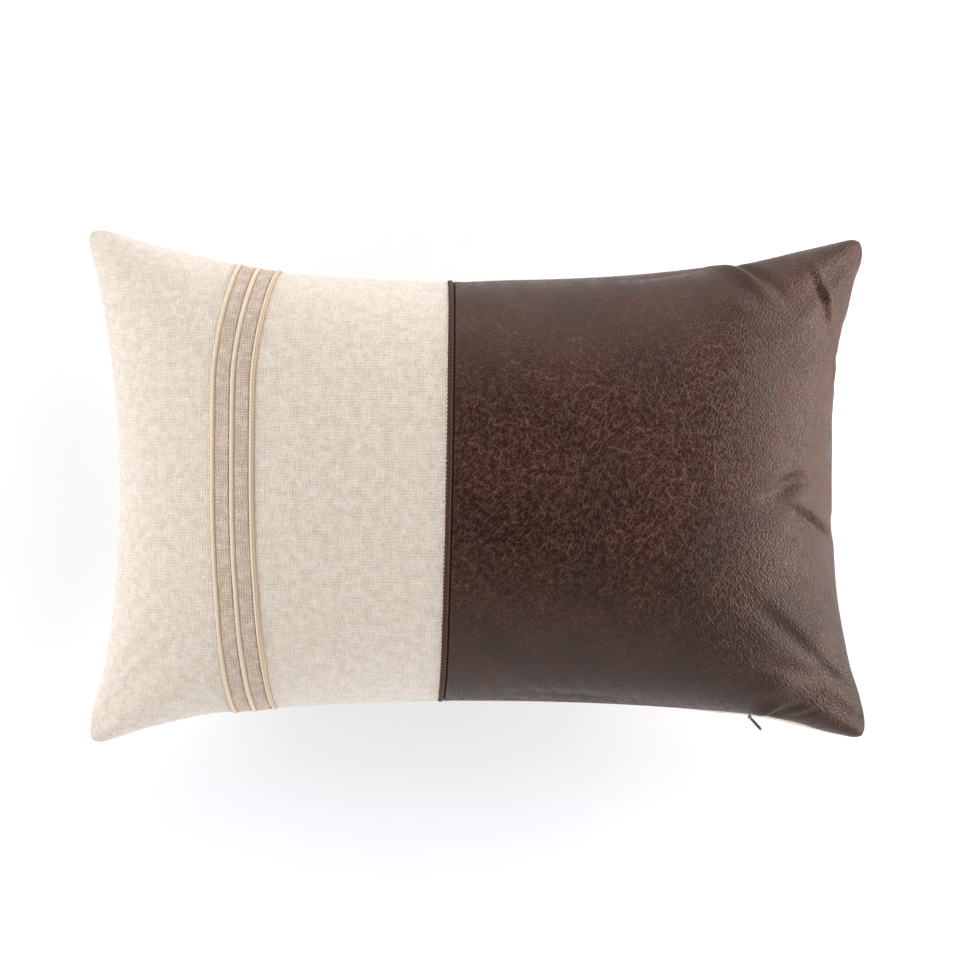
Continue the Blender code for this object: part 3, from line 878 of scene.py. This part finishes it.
def build_trim():
    """A ribbed trim that covers the join, with tufts that stand out on the fabric side."""
    v = np.linspace(-TRIM_END, TRIM_END, round(2 * TRIM_END / TRIM_CELL) + 1)
    across, v = np.meshgrid(np.linspace(-1, 1, TRIM_COLUMNS), v, indexing="ij")
    wander = Ripple(31, 0.3, 0.010).at(across * 0, v)
    strength = 0.6 + 0.4 * Ripple(32, 0.3, 0.030).at(across * 0, v)
    rib = np.cos(2 * pi * (v / TRIM_PITCH + RIB_WANDER * wander + RIB_SLANT * across))
    tuft = np.clip(-across, 0, 1) ** 2 * TUFT_REACH * strength * rib
    u = join_at(v) + TRIM_OFFSET + across * TRIM_HALF_WIDTH - tuft
    end = np.clip((TRIM_END - np.abs(v)) / TRIM_ROUND, 0, 1)
    profile = dome(across, TRIM_SQUARENESS) * dome(1 - end, 2)
    groove = TRIM_GROOVE * hump(across - TRIM_GROOVE_AT, TRIM_GROOVE_SPREAD)
    ribbed = TRIM_HEIGHT * (1 - RIB_SHARE + RIB_SHARE * rib * strength)
    height = STRIP_FOOT + profile * (ribbed - groove)
    closed_strip("ribbed_trim", u, v, height, ribbed_trim(), "centre_trim", "ribbed_trim")
    v = np.arange(-TRIM_END + 0.004, TRIM_END - 0.004, TRIM_THREAD_PITCH)
    u = join_at(v) + TRIM_OFFSET + TRIM_THREAD_AT * TRIM_HALF_WIDTH
    thread = stitch_thread("trim_thread", "brown")
    stitch_row("trim_line", u, v, TRIM_THREAD_RISE, TRIM_THREAD_SIZE, thread)


def build_join_stitches():
    """Topstitching in the groove between the trim and the leather."""
    rng = np.random.default_rng(23)
    v = np.arange(-TRIM_END + 0.005, TRIM_END - 0.005, JOIN_STITCH_PITCH)
    v = v + rng.uniform(-JOIN_STITCH_STRAY, JOIN_STITCH_STRAY, len(v))
    u = join_at(v) + GROOVE_AT
    thread = stitch_thread("join_thread", "dark")
    stitch_row("join_stitches", u, v, JOIN_STITCH_RISE, JOIN_STITCH_SIZE, thread)


def build_seam_thread():
    """Ladder of small stitches seen between the lips of the closed seam, but not where the zip lies."""
    a = np.linspace(-1, 1, 4001)
    edge_u = np.full_like(a, HALF_WIDTH)
    edge_v = np.full_like(a, HALF_HEIGHT)
    u = np.concatenate([a * edge_u, edge_u, -a * edge_u, -edge_u])
    v = np.concatenate([-edge_v, a * edge_v, edge_v, -a * edge_v])
    edge = FRONT.at(u, v)
    out = unit(FRONT.normal(u, v) * (1, 1, 0))
    travelled = np.concatenate([[0], np.cumsum(np.linalg.norm(np.diff(edge, axis=0), axis=1))])
    picks = np.searchsorted(travelled, np.arange(0.001, travelled[-1], SEAM_STITCH_PITCH))
    picks = picks[(np.abs(edge[picks, 0]) > ZIP_GAP_NONE_FROM) | (edge[picks, 1] > ZIP_BELOW)]
    out = out[picks]
    place = edge[picks] - out * SEAM_STITCH_INSET
    place[:, 2] = SEAM_HEIGHT
    up = np.tile((0.0, 0.0, 1.0), (len(picks), 1))
    points, faces = beads(place, np.cross(up, out), out, up, SEAM_STITCH_SIZE)
    thread = stitch_thread("seam_stitch", "pale")
    make_piece("seam_stitches", points, faces, thread, replaced=["seam_thread"], slot="seam_thread")


# ---- insert

# Each inner part is a skin drawn in: its share of the width, of the height and of the rise, and its floor.
INSERT_SHRINK = (0.930, 0.885, 0.950, 0.0022)
FILL_SHRINK = (0.905, 0.855, 0.905, 0.0050)
INSERT_GAP = 0.0005
INSERT_THICKNESS = 0.0004
LUMP_SPACING = 0.022
LUMP_HEIGHT = 0.0012
LUMP_CLEARANCE = 0.03


def shrunk(points, side_scale, level_scale, rise_scale, floor):
    """A skin's points drawn in toward the middle of the pillow."""
    points = points * (side_scale, level_scale, 1.0)
    points[..., 2] = SEAM_HEIGHT + (points[..., 2] - SEAM_HEIGHT) * rise_scale
    over = points[..., 2] - floor
    points[..., 2] = floor + FLOOR_SOFTNESS * np.logaddexp(0.0, over / FLOOR_SOFTNESS)
    return points


def build_insert():
    u, v = cut_grid(CELL_INSERT)
    faces = grid_faces(*u.shape)
    for name, skin, sign in (("front", FRONT, 1), ("back", BACK, -1)):
        points = shrunk(skin.at(u, v), *INSERT_SHRINK) + (0, 0, sign * INSERT_GAP)
        sheet = (points.reshape(-1, 3), faces[:, ::sign], chenille("insert_cloth", f"insert_cloth_{name}"))
        piece = make_piece(f"insert_{name}", *sheet, pairs(u, v), [f"insert_shell_{name}"], "insert_cloth")
        pad(piece, INSERT_THICKNESS)


def build_fill():
    """A lumpy block of fibre inside the insert."""
    u, v = cut_grid(CELL_FILL)
    lumps = Ripple(51, LUMP_SPACING, LUMP_SPACING)
    clear = away_from_seams(u, v, LUMP_CLEARANCE)
    layers = []
    for skin, sign in ((FRONT, 1), (BACK, -1)):
        points = shrunk(skin.at(u, v), *FILL_SHRINK)
        points[..., 2] += LUMP_HEIGHT * sign * clear * lumps.at(sign * u, v)
        layers.append(points.reshape(-1, 3))
    faces, inside, _ = two_sided(*u.shape)
    points = np.concatenate([layers[0], layers[1][inside]])
    cut = pairs(u, v)
    cut = np.concatenate([cut, cut[inside]])
    piece = make_piece("fibre_filling", points, faces, fibre_fill(), cut, ["insert_fill"], "fibre_fill")


# ---- zip

SLIDER_AT = 0.2120
SLIDER_LENGTH = 0.0090
SLIDER_DEPTH = (0.0033, 0.0088)
SLIDER_HALF_HEIGHT = 0.0029
PLATE = 0.0007
NECK_HALF_WIDTH = 0.0011
NECK_HALF_HEIGHT = 0.0005
LOOP_AT = -0.0024
LOOP_RADII = (0.00145, 0.00125)
LOOP_WIRE = 0.00036
EYE_RADIUS = 0.00125
PULL_WIRE = 0.00042
PIVOT_REACH = 0.0032
TAB_LENGTH = 0.0140
TAB_REST_ANGLE = radians(-48)
RIDGE_OFFSET = 0.00078
KNOB_RADII = (0.0009, 0.0009, 0.00048)
ARC_CENTRE = Vector((0, ZIP_ARC_MIDDLE_Y - ZIP_ARC_RADIUS, SEAM_HEIGHT))


def zip_frame(distance):
    """Local frame on the seam: X along the zip, Y inward, Z up, at a distance along its arc."""
    turn = Matrix.Rotation(-distance / ZIP_ARC_RADIUS, 4, "Z")
    return Matrix.Translation(ARC_CENTRE) @ turn @ Matrix.Translation((0, ZIP_ARC_RADIUS, 0))


def add_mesh(target, part):
    spare = bpy.data.meshes.new("spare")
    part.to_mesh(spare)
    part.free()
    target.from_mesh(spare)
    bpy.data.meshes.remove(spare)


def add_block(target, low, high, bevel):
    """A block with bevelled edges."""
    block = bmesh.new()
    bmesh.ops.create_cube(block, size=1.0)
    low, high = Vector(low), Vector(high)
    bmesh.ops.scale(block, vec=high - low, verts=block.verts)
    bmesh.ops.translate(block, vec=(low + high) / 2, verts=block.verts)
    bmesh.ops.bevel(block, geom=block.edges[:], offset=bevel, segments=2, affect="EDGES")
    add_mesh(target, block)


def add_wire(target, points, radius, segments=10, closed=False):
    """A round wire through points, built ring by ring."""
    wire = bmesh.new()
    rings = []
    count = len(points)
    for index, point in enumerate(points):
        before = points[(index - 1) % count] if closed or index else point
        after = points[(index + 1) % count] if closed or index < count - 1 else point
        forward = (after - before).normalized()
        side = forward.cross(Vector((0.1, 0.2, 1.0))).normalized()
        up = side.cross(forward)
        ring = []
        for angle in circle(segments):
            ring.append(wire.verts.new(point + radius * (cos(angle) * side + sin(angle) * up)))
        rings.append(ring)
    joined = list(zip(rings, rings[1:]))
    if closed:
        joined.append((rings[-1], rings[0]))
    for first, second in joined:
        for step in range(segments):
            after = (step + 1) % segments
            wire.faces.new((first[step], first[after], second[after], second[step]))
    if not closed:
        wire.faces.new(rings[0][::-1])
        wire.faces.new(rings[-1])
    bmesh.ops.recalc_face_normals(wire, faces=wire.faces)
    add_mesh(target, wire)


def circle(steps):
    return [2 * pi * step / steps for step in range(steps)]


def finish_part(name, part, place, material, replaced, body):
    """Places a small hard part's geometry in the world and gives it to its body."""
    bmesh.ops.transform(part, matrix=place, verts=part.verts)
    points, faces = unpack(part)
    mesh = bpy.data.meshes.new(name)
    mesh.from_pydata(points.tolist(), [], faces)
    mesh.shade_smooth()
    mesh.set_sharp_from_angle(angle=radians(40))
    give(link_object(name, mesh, material), [replaced], body)


def build_slider():
    """Two plates joined by a wedge, a neck through the slit and a bent loop that holds the pull."""
    part = bmesh.new()
    half, (near, far), top = SLIDER_LENGTH / 2, SLIDER_DEPTH, SLIDER_HALF_HEIGHT
    width, neck = NECK_HALF_WIDTH, NECK_HALF_HEIGHT
    add_block(part, (-half, near, top - PLATE), (half, far, top), 0.00025)
    add_block(part, (-half, near, -top), (half, far, PLATE - top), 0.00025)
    add_block(part, (-half, near, PLATE - top), (half, near + PLATE, top - PLATE), 0.0001)
    add_block(part, (-width, -width, -neck), (width, near + 0.0002, neck), 0.00015)
    long, high = LOOP_RADII
    loop = [Vector((0, LOOP_AT + long * cos(angle), high * sin(angle))) for angle in circle(21)]
    add_wire(part, loop, LOOP_WIRE, closed=True)
    finish_part("zip_slider", part, zip_frame(SLIDER_AT), dark_metal(), "slider_body", "slider")


def build_pull():
    """A narrow pull: an eye, a thin web between two long ridges, and a small knob at the end."""
    part = bmesh.new()
    eye = [Vector((EYE_RADIUS * cos(angle), EYE_RADIUS * sin(angle), 0)) for angle in circle(24)]
    add_wire(part, eye, PULL_WIRE, closed=True)
    tip = TAB_LENGTH - 0.0022
    add_block(part, (0.0012, -0.0008, -0.00022), (tip, 0.0008, 0.00022), 0.0001)
    for side in (-1, 1):
        start = Vector((0.0014, side * 0.0005, 0))
        shoulder = Vector((0.0026, side * RIDGE_OFFSET, 0))
        end = Vector((tip - 0.0002, side * RIDGE_OFFSET, 0))
        add_wire(part, [start, shoulder, shoulder.lerp(end, 0.5), end], PULL_WIRE)
    add_block(part, (tip - 0.0004, -0.0011, -PULL_WIRE), (tip + 0.0005, 0.0011, PULL_WIRE), 0.0002)
    knob = bmesh.new()
    bmesh.ops.create_uvsphere(knob, u_segments=16, v_segments=10, radius=1.0)
    bmesh.ops.scale(knob, vec=KNOB_RADII, verts=knob.verts)
    bmesh.ops.translate(knob, vec=(tip + 0.0010, 0, 0), verts=knob.verts)
    add_mesh(part, knob)
    pivot = zip_frame(SLIDER_AT) @ Vector((0, -PIVOT_REACH, 0))
    place = Matrix.Translation(pivot) @ Matrix.Rotation(TAB_REST_ANGLE, 4, "Z")
    finish_part("zip_pull", part, place, pewter(), "pull_tab", "tab")


# ---- materials

SHADER_INPUTS = {
    "roughness": "Roughness",
    "metallic": "Metallic",
    "specular": "Specular IOR Level",
    "tint": "Specular Tint",
    "sheen": "Sheen Weight",
    "sheen_roughness": "Sheen Roughness",
    "glow_colour": "Emission Color",
    "glow": "Emission Strength",
}
WHITE = (1.0, 1.0, 1.0, 1.0)


def linear(*display):
    """Scene-linear colour from display values of 0 to 255."""
    share = np.array(display) / 255
    curve = np.where(share <= 0.04045, share / 12.92, ((share + 0.055) / 1.055) ** 2.4)
    return (*curve.tolist(), 1.0)


class Shader:
    """The nodes of a material or of the world, with short calls for what the looks share."""

    def __init__(self, owner, main):
        owner.use_nodes = True
        self.owner = owner
        self.tree = owner.node_tree
        self.main = self.tree.nodes[main]

    def node(self, kind, **settings):
        node = self.tree.nodes.new("ShaderNode" + kind)
        for key, value in settings.items():
            setattr(node, key, value)
        return node

    def feed(self, sockets, *values):
        for socket, value in zip(sockets, values):
            if isinstance(value, bpy.types.NodeSocket):
                self.tree.links.new(value, socket)
            else:
                socket.default_value = value

    def set(self, name, value):
        self.feed([self.main.inputs[name]], value)

    def math(self, operation, *values):
        node = self.node("Math", operation=operation)
        self.feed(node.inputs, *values)
        return node.outputs[0]

    def plus(self, first, second):
        return self.math("ADD", first, second)

    def times(self, first, second):
        return self.math("MULTIPLY", first, second)

    def times_plus(self, first, factor, added):
        return self.math("MULTIPLY_ADD", first, factor, added)

    def wave(self, value, length):
        return self.math("SINE", self.times(value, 2 * pi / length))

    def cut(self):
        """Place on the flat cut, in metres."""
        return self.node("UVMap", uv_map="cut").outputs[0]

    def place(self, kind="Object"):
        return self.node("TexCoord").outputs[kind]

    def split(self, vector):
        node = self.node("SeparateXYZ")
        self.feed(node.inputs, vector)
        return node.outputs[0], node.outputs[1], node.outputs[2]

    def join(self, x, y):
        node = self.node("CombineXYZ")
        self.feed(node.inputs, x, y)
        return node.outputs[0]

    def noise(self, vector, size, detail=2.0, roughness=0.5, colour=False):
        """Noise from 0 to 1 whose features are about a size across."""
        node = self.node("TexNoise")
        sockets = [node.inputs[name] for name in ("Vector", "Scale", "Detail", "Roughness")]
        self.feed(sockets, vector, 1 / size, detail, roughness)
        return node.outputs["Color" if colour else "Fac"]

    def shaken(self, vector, size, amount, detail=1.0):
        """A vector moved about by noise, by at most about an amount."""
        centred = self.node("VectorMath", operation="SUBTRACT")
        self.feed(centred.inputs, self.noise(vector, size, detail, colour=True), (0.5, 0.5, 0.5))
        moved = self.node("VectorMath", operation="MULTIPLY_ADD")
        self.feed(moved.inputs, centred.outputs[0], (2 * amount,) * 3, vector)
        return moved.outputs[0]

    def span(self, value, low, high, start=0.0, end=1.0, smooth=True):
        """Maps a value from one range to another and clamps it."""
        node = self.node("MapRange", interpolation_type="SMOOTHSTEP" if smooth else "LINEAR")
        self.feed(node.inputs, value, low, high, start, end)
        return node.outputs[0]

    def patches(self, vector, size, detail, roughness, low, high, start=0.0, end=1.0):
        """Noise mapped from one range to another."""
        return self.span(self.noise(vector, size, detail, roughness), low, high, start, end)

    def mix(self, factor, first, second, blend="MIX"):
        node = self.node("Mix", data_type="RGBA", blend_type=blend)
        self.feed([node.inputs["Factor"], node.inputs[6], node.inputs[7]], factor, first, second)
        return node.outputs[2]

    def tones(self, factor, first, second):
        return self.mix(factor, linear(*first), linear(*second))

    def done(self, colour, height, distance, strength=1.0):
        """Sets a material's colour and fine relief, and gives the material."""
        bump = self.node("Bump")
        sockets = [bump.inputs[name] for name in ("Strength", "Distance", "Height")]
        self.feed(sockets, strength, distance, height)
        self.set("Base Color", colour)
        self.set("Normal", bump.outputs[0])
        return self.owner


def finish(name, **values):
    """The nodes of a new material, with its constant values set."""
    mat = Shader(bpy.data.materials.new(name), "Principled BSDF")
    for key, value in values.items():
        mat.set(SHADER_INPUTS[key], value)
    return mat


def weave_height(mat, vector, pitch, shake):
    """Plain weave: crossing yarns that pass over and under each other, unevenly spaced."""
    x, y, _ = mat.split(mat.shaken(vector, 0.0070, shake, detail=3.0))
    wave_x, wave_y = mat.wave(x, 2 * pitch), mat.wave(y, 2 * pitch)
    over = mat.times(wave_x, wave_y)
    warp = mat.times(mat.math("ABSOLUTE", wave_x), mat.times_plus(over, 0.5, 0.5))
    weft = mat.times(mat.math("ABSOLUTE", wave_y), mat.times_plus(over, -0.5, 0.5))
    return mat.math("MAXIMUM", warp, weft)


# Chenille cloths: dark, body, light and patch tones, yarn pitch, contrast and sheen.
CLOTHS = {
    "cream_fabric": ((196, 178, 158), (227, 215, 203), (243, 235, 226), (222, 206, 189), 0.00210, 0.75, 0.4),
    "back_fabric": ((198, 180, 158), (228, 214, 198), (244, 234, 222), (224, 207, 188), 0.00210, 0.75, 0.4),
    "taupe_band": ((172, 148, 130), (226, 207, 192), (244, 229, 215), (219, 198, 180), 0.00185, 1.2, 0.2),
    "insert_cloth": ((214, 212, 208), (236, 235, 232), (246, 245, 243), (232, 230, 226), 0.00060, 0.5, 0.1),
}
YARN_STRETCH = 0.22


def chenille(kind, name=""):
    """Soft chenille cloth: an uneven weave, slubs along the yarns, fuzz and faint warmer patches."""
    dark, body, light, patch, pitch, contrast, sheen = CLOTHS[kind]
    mat = finish(name or kind, roughness=0.92, specular=0.25, sheen=sheen, sheen_roughness=0.6)
    cut = mat.cut()
    weave = weave_height(mat, cut, pitch, 0.0016)
    x, y, _ = mat.split(cut)
    upright = mat.noise(mat.join(x, mat.times(y, YARN_STRETCH)), 0.0015, 2.0, 0.65)
    level = mat.noise(mat.join(mat.times(x, YARN_STRETCH), y), 0.0015, 2.0, 0.65)
    slub = mat.plus(upright, level)
    fuzz = mat.noise(cut, 0.0014, 3.0, 0.75)
    clear = mat.patches(cut, 0.0075, 2.0, 0.5, 0.35, 0.65, 0.45, 1.0)
    gaps = mat.times(mat.math("SUBTRACT", 1.0, weave), clear)
    tone = mat.times_plus(gaps, -contrast, mat.times(slub, 0.70))
    tone = mat.times_plus(fuzz, 0.75, tone)
    colour = mat.tones(mat.span(tone, 0.45, 1.35, smooth=False), dark, light)
    colour = mat.mix(0.15, colour, linear(*body))
    warm = mat.patches(cut, 0.045, 3.0, 0.6, 0.48, 0.72, 0.0, 0.5)
    colour = mat.mix(warm, colour, mat.mix(0.5, colour, linear(*patch)))
    height = mat.times_plus(slub, 0.40, mat.times_plus(fuzz, 0.5, weave))
    return mat.done(colour, height, 0.0007, 0.8)


LEATHER_HEADING = radians(50)
LEATHER_STRETCH = 0.58
GRAIN_SIZE = 0.0016
PEBBLE_SIZE = 0.0030
CREASE_SIZE = 0.0130


def drawn_out(mat, vector, heading):
    """Coordinates along and across a heading, shortened along it so that features grow that way."""
    x, y, _ = mat.split(vector)
    along = mat.times_plus(x, cos(heading), mat.times(y, sin(heading)))
    across = mat.times_plus(x, -sin(heading), mat.times(y, cos(heading)))
    return mat.join(mat.times(along, LEATHER_STRETCH), across)


def cell_lines(mat, vector, wobble, shift, size, width):
    """Lines between the cells of a shaken net."""
    net = mat.node("TexVoronoi", feature="DISTANCE_TO_EDGE", voronoi_dimensions="2D")
    shaken = mat.shaken(vector, wobble, shift, 2.0)
    mat.feed([net.inputs["Vector"], net.inputs["Scale"]], shaken, 1 / size)
    return mat.span(net.outputs["Distance"], 0.0, width, 1.0, 0.0)


def brown_leather():
    """Pull-up hide: dark glossy grain drawn out along the hide, with paler, duller creases between."""
    mat = finish("brown_leather", roughness=0.38, specular=0.42, tint=(1.0, 0.90, 0.80, 1.0))
    cut = mat.cut()
    x, y, _ = mat.split(cut)
    swept = mat.shaken(cut, 0.070, 0.014, 0.0)
    rising = drawn_out(mat, swept, LEATHER_HEADING)
    falling = drawn_out(mat, swept, -LEATHER_HEADING)
    lower = mat.span(mat.times_plus(mat.noise(cut, 0.060, 1.0), 0.16, y), 0.040, -0.020)
    rising_lines = cell_lines(mat, rising, 0.0060, 0.0016, PEBBLE_SIZE, 0.22)
    falling_lines = cell_lines(mat, falling, 0.0060, 0.0016, PEBBLE_SIZE, 0.22)
    pebble_line = mat.times(rising_lines, mat.math("SUBTRACT", 1.0, lower))
    pebble_line = mat.times_plus(falling_lines, lower, pebble_line)
    grain_line = cell_lines(mat, rising, 0.0030, 0.0007, GRAIN_SIZE, 0.28)
    crease = cell_lines(mat, rising, 0.0110, 0.0040, CREASE_SIZE, 0.060)
    crease = mat.times(crease, mat.patches(cut, 0.0090, 3.0, 0.6, 0.34, 0.56))
    belly = mat.span(x, 0.120, 0.250)
    sparse = mat.patches(cut, 0.0050, 2.0, 0.5, 0.34, 0.62, 0.35, 0.95)
    sparse = mat.math("MAXIMUM", sparse, mat.times(belly, 0.75))
    fine = mat.noise(rising, 0.0011, 3.0, 0.7)
    line = mat.times_plus(pebble_line, 0.62, mat.times(grain_line, 0.45))
    line = mat.times(mat.times_plus(crease, 0.60, line), sparse)
    tone = mat.times_plus(fine, 0.95, mat.times(line, 0.52))
    low = mat.tones(mat.span(tone, 0.30, 0.75), (26, 9, 4), (66, 36, 24))
    colour = mat.mix(mat.span(tone, 0.65, 1.35), low, linear(113, 79, 61))
    red = mat.patches(cut, 0.016, 3.0, 0.6, 0.44, 0.66, 0.0, 0.9)
    colour = mat.mix(red, colour, mat.mix(1.0, colour, linear(255, 212, 196), "MULTIPLY"))
    # Painted shade: the hide is mixed toward a darker colour toward its lower edge, standing in for the
    # shading that falls there. The same mix also gives random darker patches of the hide's own tone.
    painted_low_shade = mat.span(y, 0.020, -0.150, 0.0, 0.60)
    darker_patches_and_painted_shade = mat.plus(mat.patches(cut, 0.060, 4.0, 0.6, 0.40, 0.62, 0.0, 0.55), painted_low_shade)
    darker_tone = mat.mix(1.0, colour, linear(175, 150, 140), "MULTIPLY")
    mat.set("Roughness", mat.span(line, 0.05, 0.80, 0.32, 0.60))
    depth = mat.span(belly, 0.0, 1.0, 1.0, 1.7)
    grain = mat.times_plus(fine, 0.5, mat.times(line, -0.8))
    return mat.done(mat.mix(darker_patches_and_painted_shade, colour, darker_tone), mat.times(grain, depth), 0.00040, 0.8)


def satin_cord(side, shade_from):
    """Satin thread laid across the cord: fine cross lines, a soft shine, and painted shade in tan on the
    right shoulder and the left edge, which leaves the top lighter.
    """
    mat = finish(f"satin_cord_{side}", roughness=0.55, specular=0.35, sheen=0.10)
    cut = mat.cut()
    x, y, _ = mat.split(cut)
    lines = mat.noise(mat.join(mat.times(x, 0.12), y), 0.0006, 2.0, 0.6)
    darker_tone = mat.noise(cut, 0.006, 3.0, 0.6)
    colour = mat.tones(lines, (208, 190, 166), (230, 215, 195))
    colour = mat.mix(mat.span(darker_tone, 0.4, 0.8, 0, 0.4), colour, linear(212, 192, 164))
    # Painted shade: each cord's rounded sides are mixed toward tan, the right shoulder from that cord's own
    # start, so the top reads as lit.
    wander = mat.times_plus(darker_tone, 0.0008, x)
    shoulder = mat.span(wander, shade_from + 0.0003, shade_from + 0.0009)
    shade = mat.math("MAXIMUM", shoulder, mat.span(x, -0.0013, -0.0018))
    tan = mat.tones(lines, (176, 151, 123), (204, 181, 153))
    return mat.done(mat.mix(mat.times(shade, 0.85), colour, tan), lines, 0.0002, 0.6)


def ribbed_trim():
    mat = finish("ribbed_trim", roughness=0.75, specular=0.3, sheen=0.08)
    cut = mat.cut()
    fibre = mat.noise(cut, 0.0009, 3.0, 0.7)
    darker_tone = mat.patches(cut, 0.012, 2.0, 0.5, 0.4, 0.7, 0, 0.5)
    colour = mat.tones(fibre, (34, 20, 15), (84, 50, 35))
    return mat.done(mat.mix(darker_tone, colour, linear(50, 31, 24)), fibre, 0.0006, 0.8)


def fibre_fill():
    mat = finish("fibre_fill", roughness=1.0, specular=0.1, sheen=0.3)
    strands = mat.noise(mat.shaken(mat.place(), 0.02, 0.012), 0.003, 6.0, 0.7)
    return mat.done(mat.tones(strands, (226, 225, 222), (250, 250, 248)), strands, 0.003)


THREAD_TONES = {
    "brown": ((92, 58, 44), (124, 84, 66)),
    "pale": ((206, 190, 170), (232, 220, 204)),
    "sand": ((176, 152, 128), (206, 184, 160)),
    "tan": ((150, 122, 92), (190, 160, 124)),
    "taupe": ((104, 80, 68), (142, 114, 98)),
    "dark": ((30, 20, 17), (56, 38, 32)),
}


def stitch_thread(name, tone):
    """Twisted sewing thread."""
    mat = finish(name, roughness=0.7, specular=0.3)
    twist = mat.noise(mat.place(), 0.0006, 2.0, 0.6)
    return mat.done(mat.tones(twist, *THREAD_TONES[tone]), twist, 0.0002, 0.6)


def brushed(name, dark, light, roughness):
    mat = finish(name, metallic=1.0)
    wear = mat.noise(mat.place(), 0.0016, 4.0, 0.65)
    mat.set("Roughness", mat.span(wear, 0.3, 0.7, roughness + 0.12, roughness - 0.08))
    return mat.done(mat.tones(mat.span(wear, 0.35, 0.7), dark, light), wear, 0.0001, 0.5)


def pewter():
    return brushed("pewter", (122, 108, 96), (188, 174, 160), 0.38)


def dark_metal():
    return brushed("dark_metal", (52, 42, 38), (92, 78, 70), 0.42)


def zip_tape():
    mat = finish("zip_tape", roughness=0.85, specular=0.3)
    place = mat.place()
    rib = mat.wave(mat.split(place)[0], 0.0008)
    tone = mat.times_plus(rib, 0.25, mat.noise(place, 0.0012, 3.0, 0.6))
    colour = mat.tones(mat.span(tone, 0.2, 0.9), (204, 190, 170), (232, 222, 206))
    return mat.done(colour, tone, 0.0003, 0.7)


def zip_coil():
    mat = finish("zip_coil", roughness=0.38, specular=0.5)
    place = mat.place()
    turns = mat.wave(mat.split(place)[0], 0.0012)
    tone = mat.times_plus(turns, 0.35, mat.noise(place, 0.002, 3.0, 0.6))
    colour = mat.tones(mat.span(tone, 0.1, 1.0), (188, 172, 150), (230, 218, 200))
    return mat.done(colour, turns, 0.0004)


def finish_cad_nodes():
    """The zip's tapes, coils and stops keep their own shapes and take worked materials."""
    finishes = (
        (zip_tape(), ("zipper_tape_front", "zipper_tape_back")),
        (zip_coil(), ("zipper_coil_front", "zipper_coil_back")),
        (pewter(), ("zipper_bottom_stop", "zipper_top_stop_front", "zipper_top_stop_back")),
    )
    for material, names in finishes:
        for name in names:
            for slot in bpy.data.objects[name].material_slots:
                slot.link = "OBJECT"
                slot.material = material


# ---- stage

CAMERA_HEIGHT = 1.754
CAMERA_CENTRE = (0.0027, 0.0046)
CAMERA_LENS = 85
FLOOR_SIZE = 4.0
FLOOR_DROP = 0.0004
OVERHEAD_GLOW = 0.10
HORIZON_GLOW = 1.70
GLOW_FULL_BELOW = radians(34)
GLOW_DIM_ABOVE = radians(66)
NEAR_WALL_SHARE = 0.70
NEAR_WALL_FROM = -0.2
NEAR_WALL_TO = -0.8
SOFTBOX_TARGET = (0, 0, 0.08)
WARM = (1.0, 0.96, 0.92)
# Softboxes: name, place, size, power and colour.
SOFTBOXES = (
    ("top_softbox", (0.1, 1.55, 0.30), (2.6, 0.5), 1.0, WARM),
    ("left_softbox", (-1.75, 0.10, 0.62), (1.7, 0.9), 12, WHITE[:3]),
    ("right_softbox", (1.35, 0.10, 0.24), (1.7, 0.4), 22, WARM),
)


def build_stage():
    grid = bmesh.new()
    bmesh.ops.create_grid(grid, x_segments=8, y_segments=8, size=FLOOR_SIZE)
    mesh = bpy.data.meshes.new("floor")
    grid.to_mesh(mesh)
    grid.free()
    mat = finish("pale_floor", roughness=0.9, specular=0.1, glow_colour=WHITE, glow=0.08)
    speck = mat.noise(mat.place(), 0.05, 3.0)
    mat.set("Base Color", mat.tones(speck, (244, 247, 252), (247, 250, 255)))
    floor = link_object("floor", mesh, mat.owner)
    floor.location = (0, 0, -FLOOR_DROP)


def build_world():
    """A pale room: bright round its walls, a little less on the near one, and dim overhead."""
    world = bpy.data.worlds.new("studio")
    room = Shader(world, "Background")
    _, y, z = room.split(room.place("Generated"))
    glow = room.span(z, sin(GLOW_FULL_BELOW), sin(GLOW_DIM_ABOVE), HORIZON_GLOW, OVERHEAD_GLOW)
    near = room.span(y, NEAR_WALL_FROM, NEAR_WALL_TO, 1.0, NEAR_WALL_SHARE)
    room.set("Color", WHITE)
    room.set("Strength", room.times(glow, near))
    bpy.context.scene.world = world


def build_lights():
    for name, place, size, power, colour in SOFTBOXES:
        lamp = bpy.data.lights.new(name, "AREA")
        lamp.shape = "RECTANGLE"
        lamp.size, lamp.size_y = size
        lamp.energy = power
        lamp.color = colour
        item = link_object(name, lamp)
        item.location = place
        item.rotation_mode = "QUATERNION"
        item.rotation_quaternion = (Vector(SOFTBOX_TARGET) - Vector(place)).to_track_quat("-Z", "Y")
    build_world()


def build_camera():
    lens = bpy.data.cameras.new("camera")
    lens.lens = CAMERA_LENS
    camera = link_object("camera", lens)
    camera.location = (*CAMERA_CENTRE, SEAM_HEIGHT + CAMERA_HEIGHT)
    bpy.context.scene.camera = camera
    bpy.context.scene.view_settings.view_transform = "Standard"


# ---- all together


front_points, back_points = filled_cover()
FRONT = Skin(front_points, 1)
BACK = Skin(back_points, -1)
build_camera()
build_fabric()
build_leather()
build_back()
build_bands()
build_cords()
build_stripe_stitches()
build_trim()
build_join_stitches()
build_seam_thread()
build_insert()
build_fill()
build_slider()
build_pull()
finish_cad_nodes()
build_stage()
build_lights()
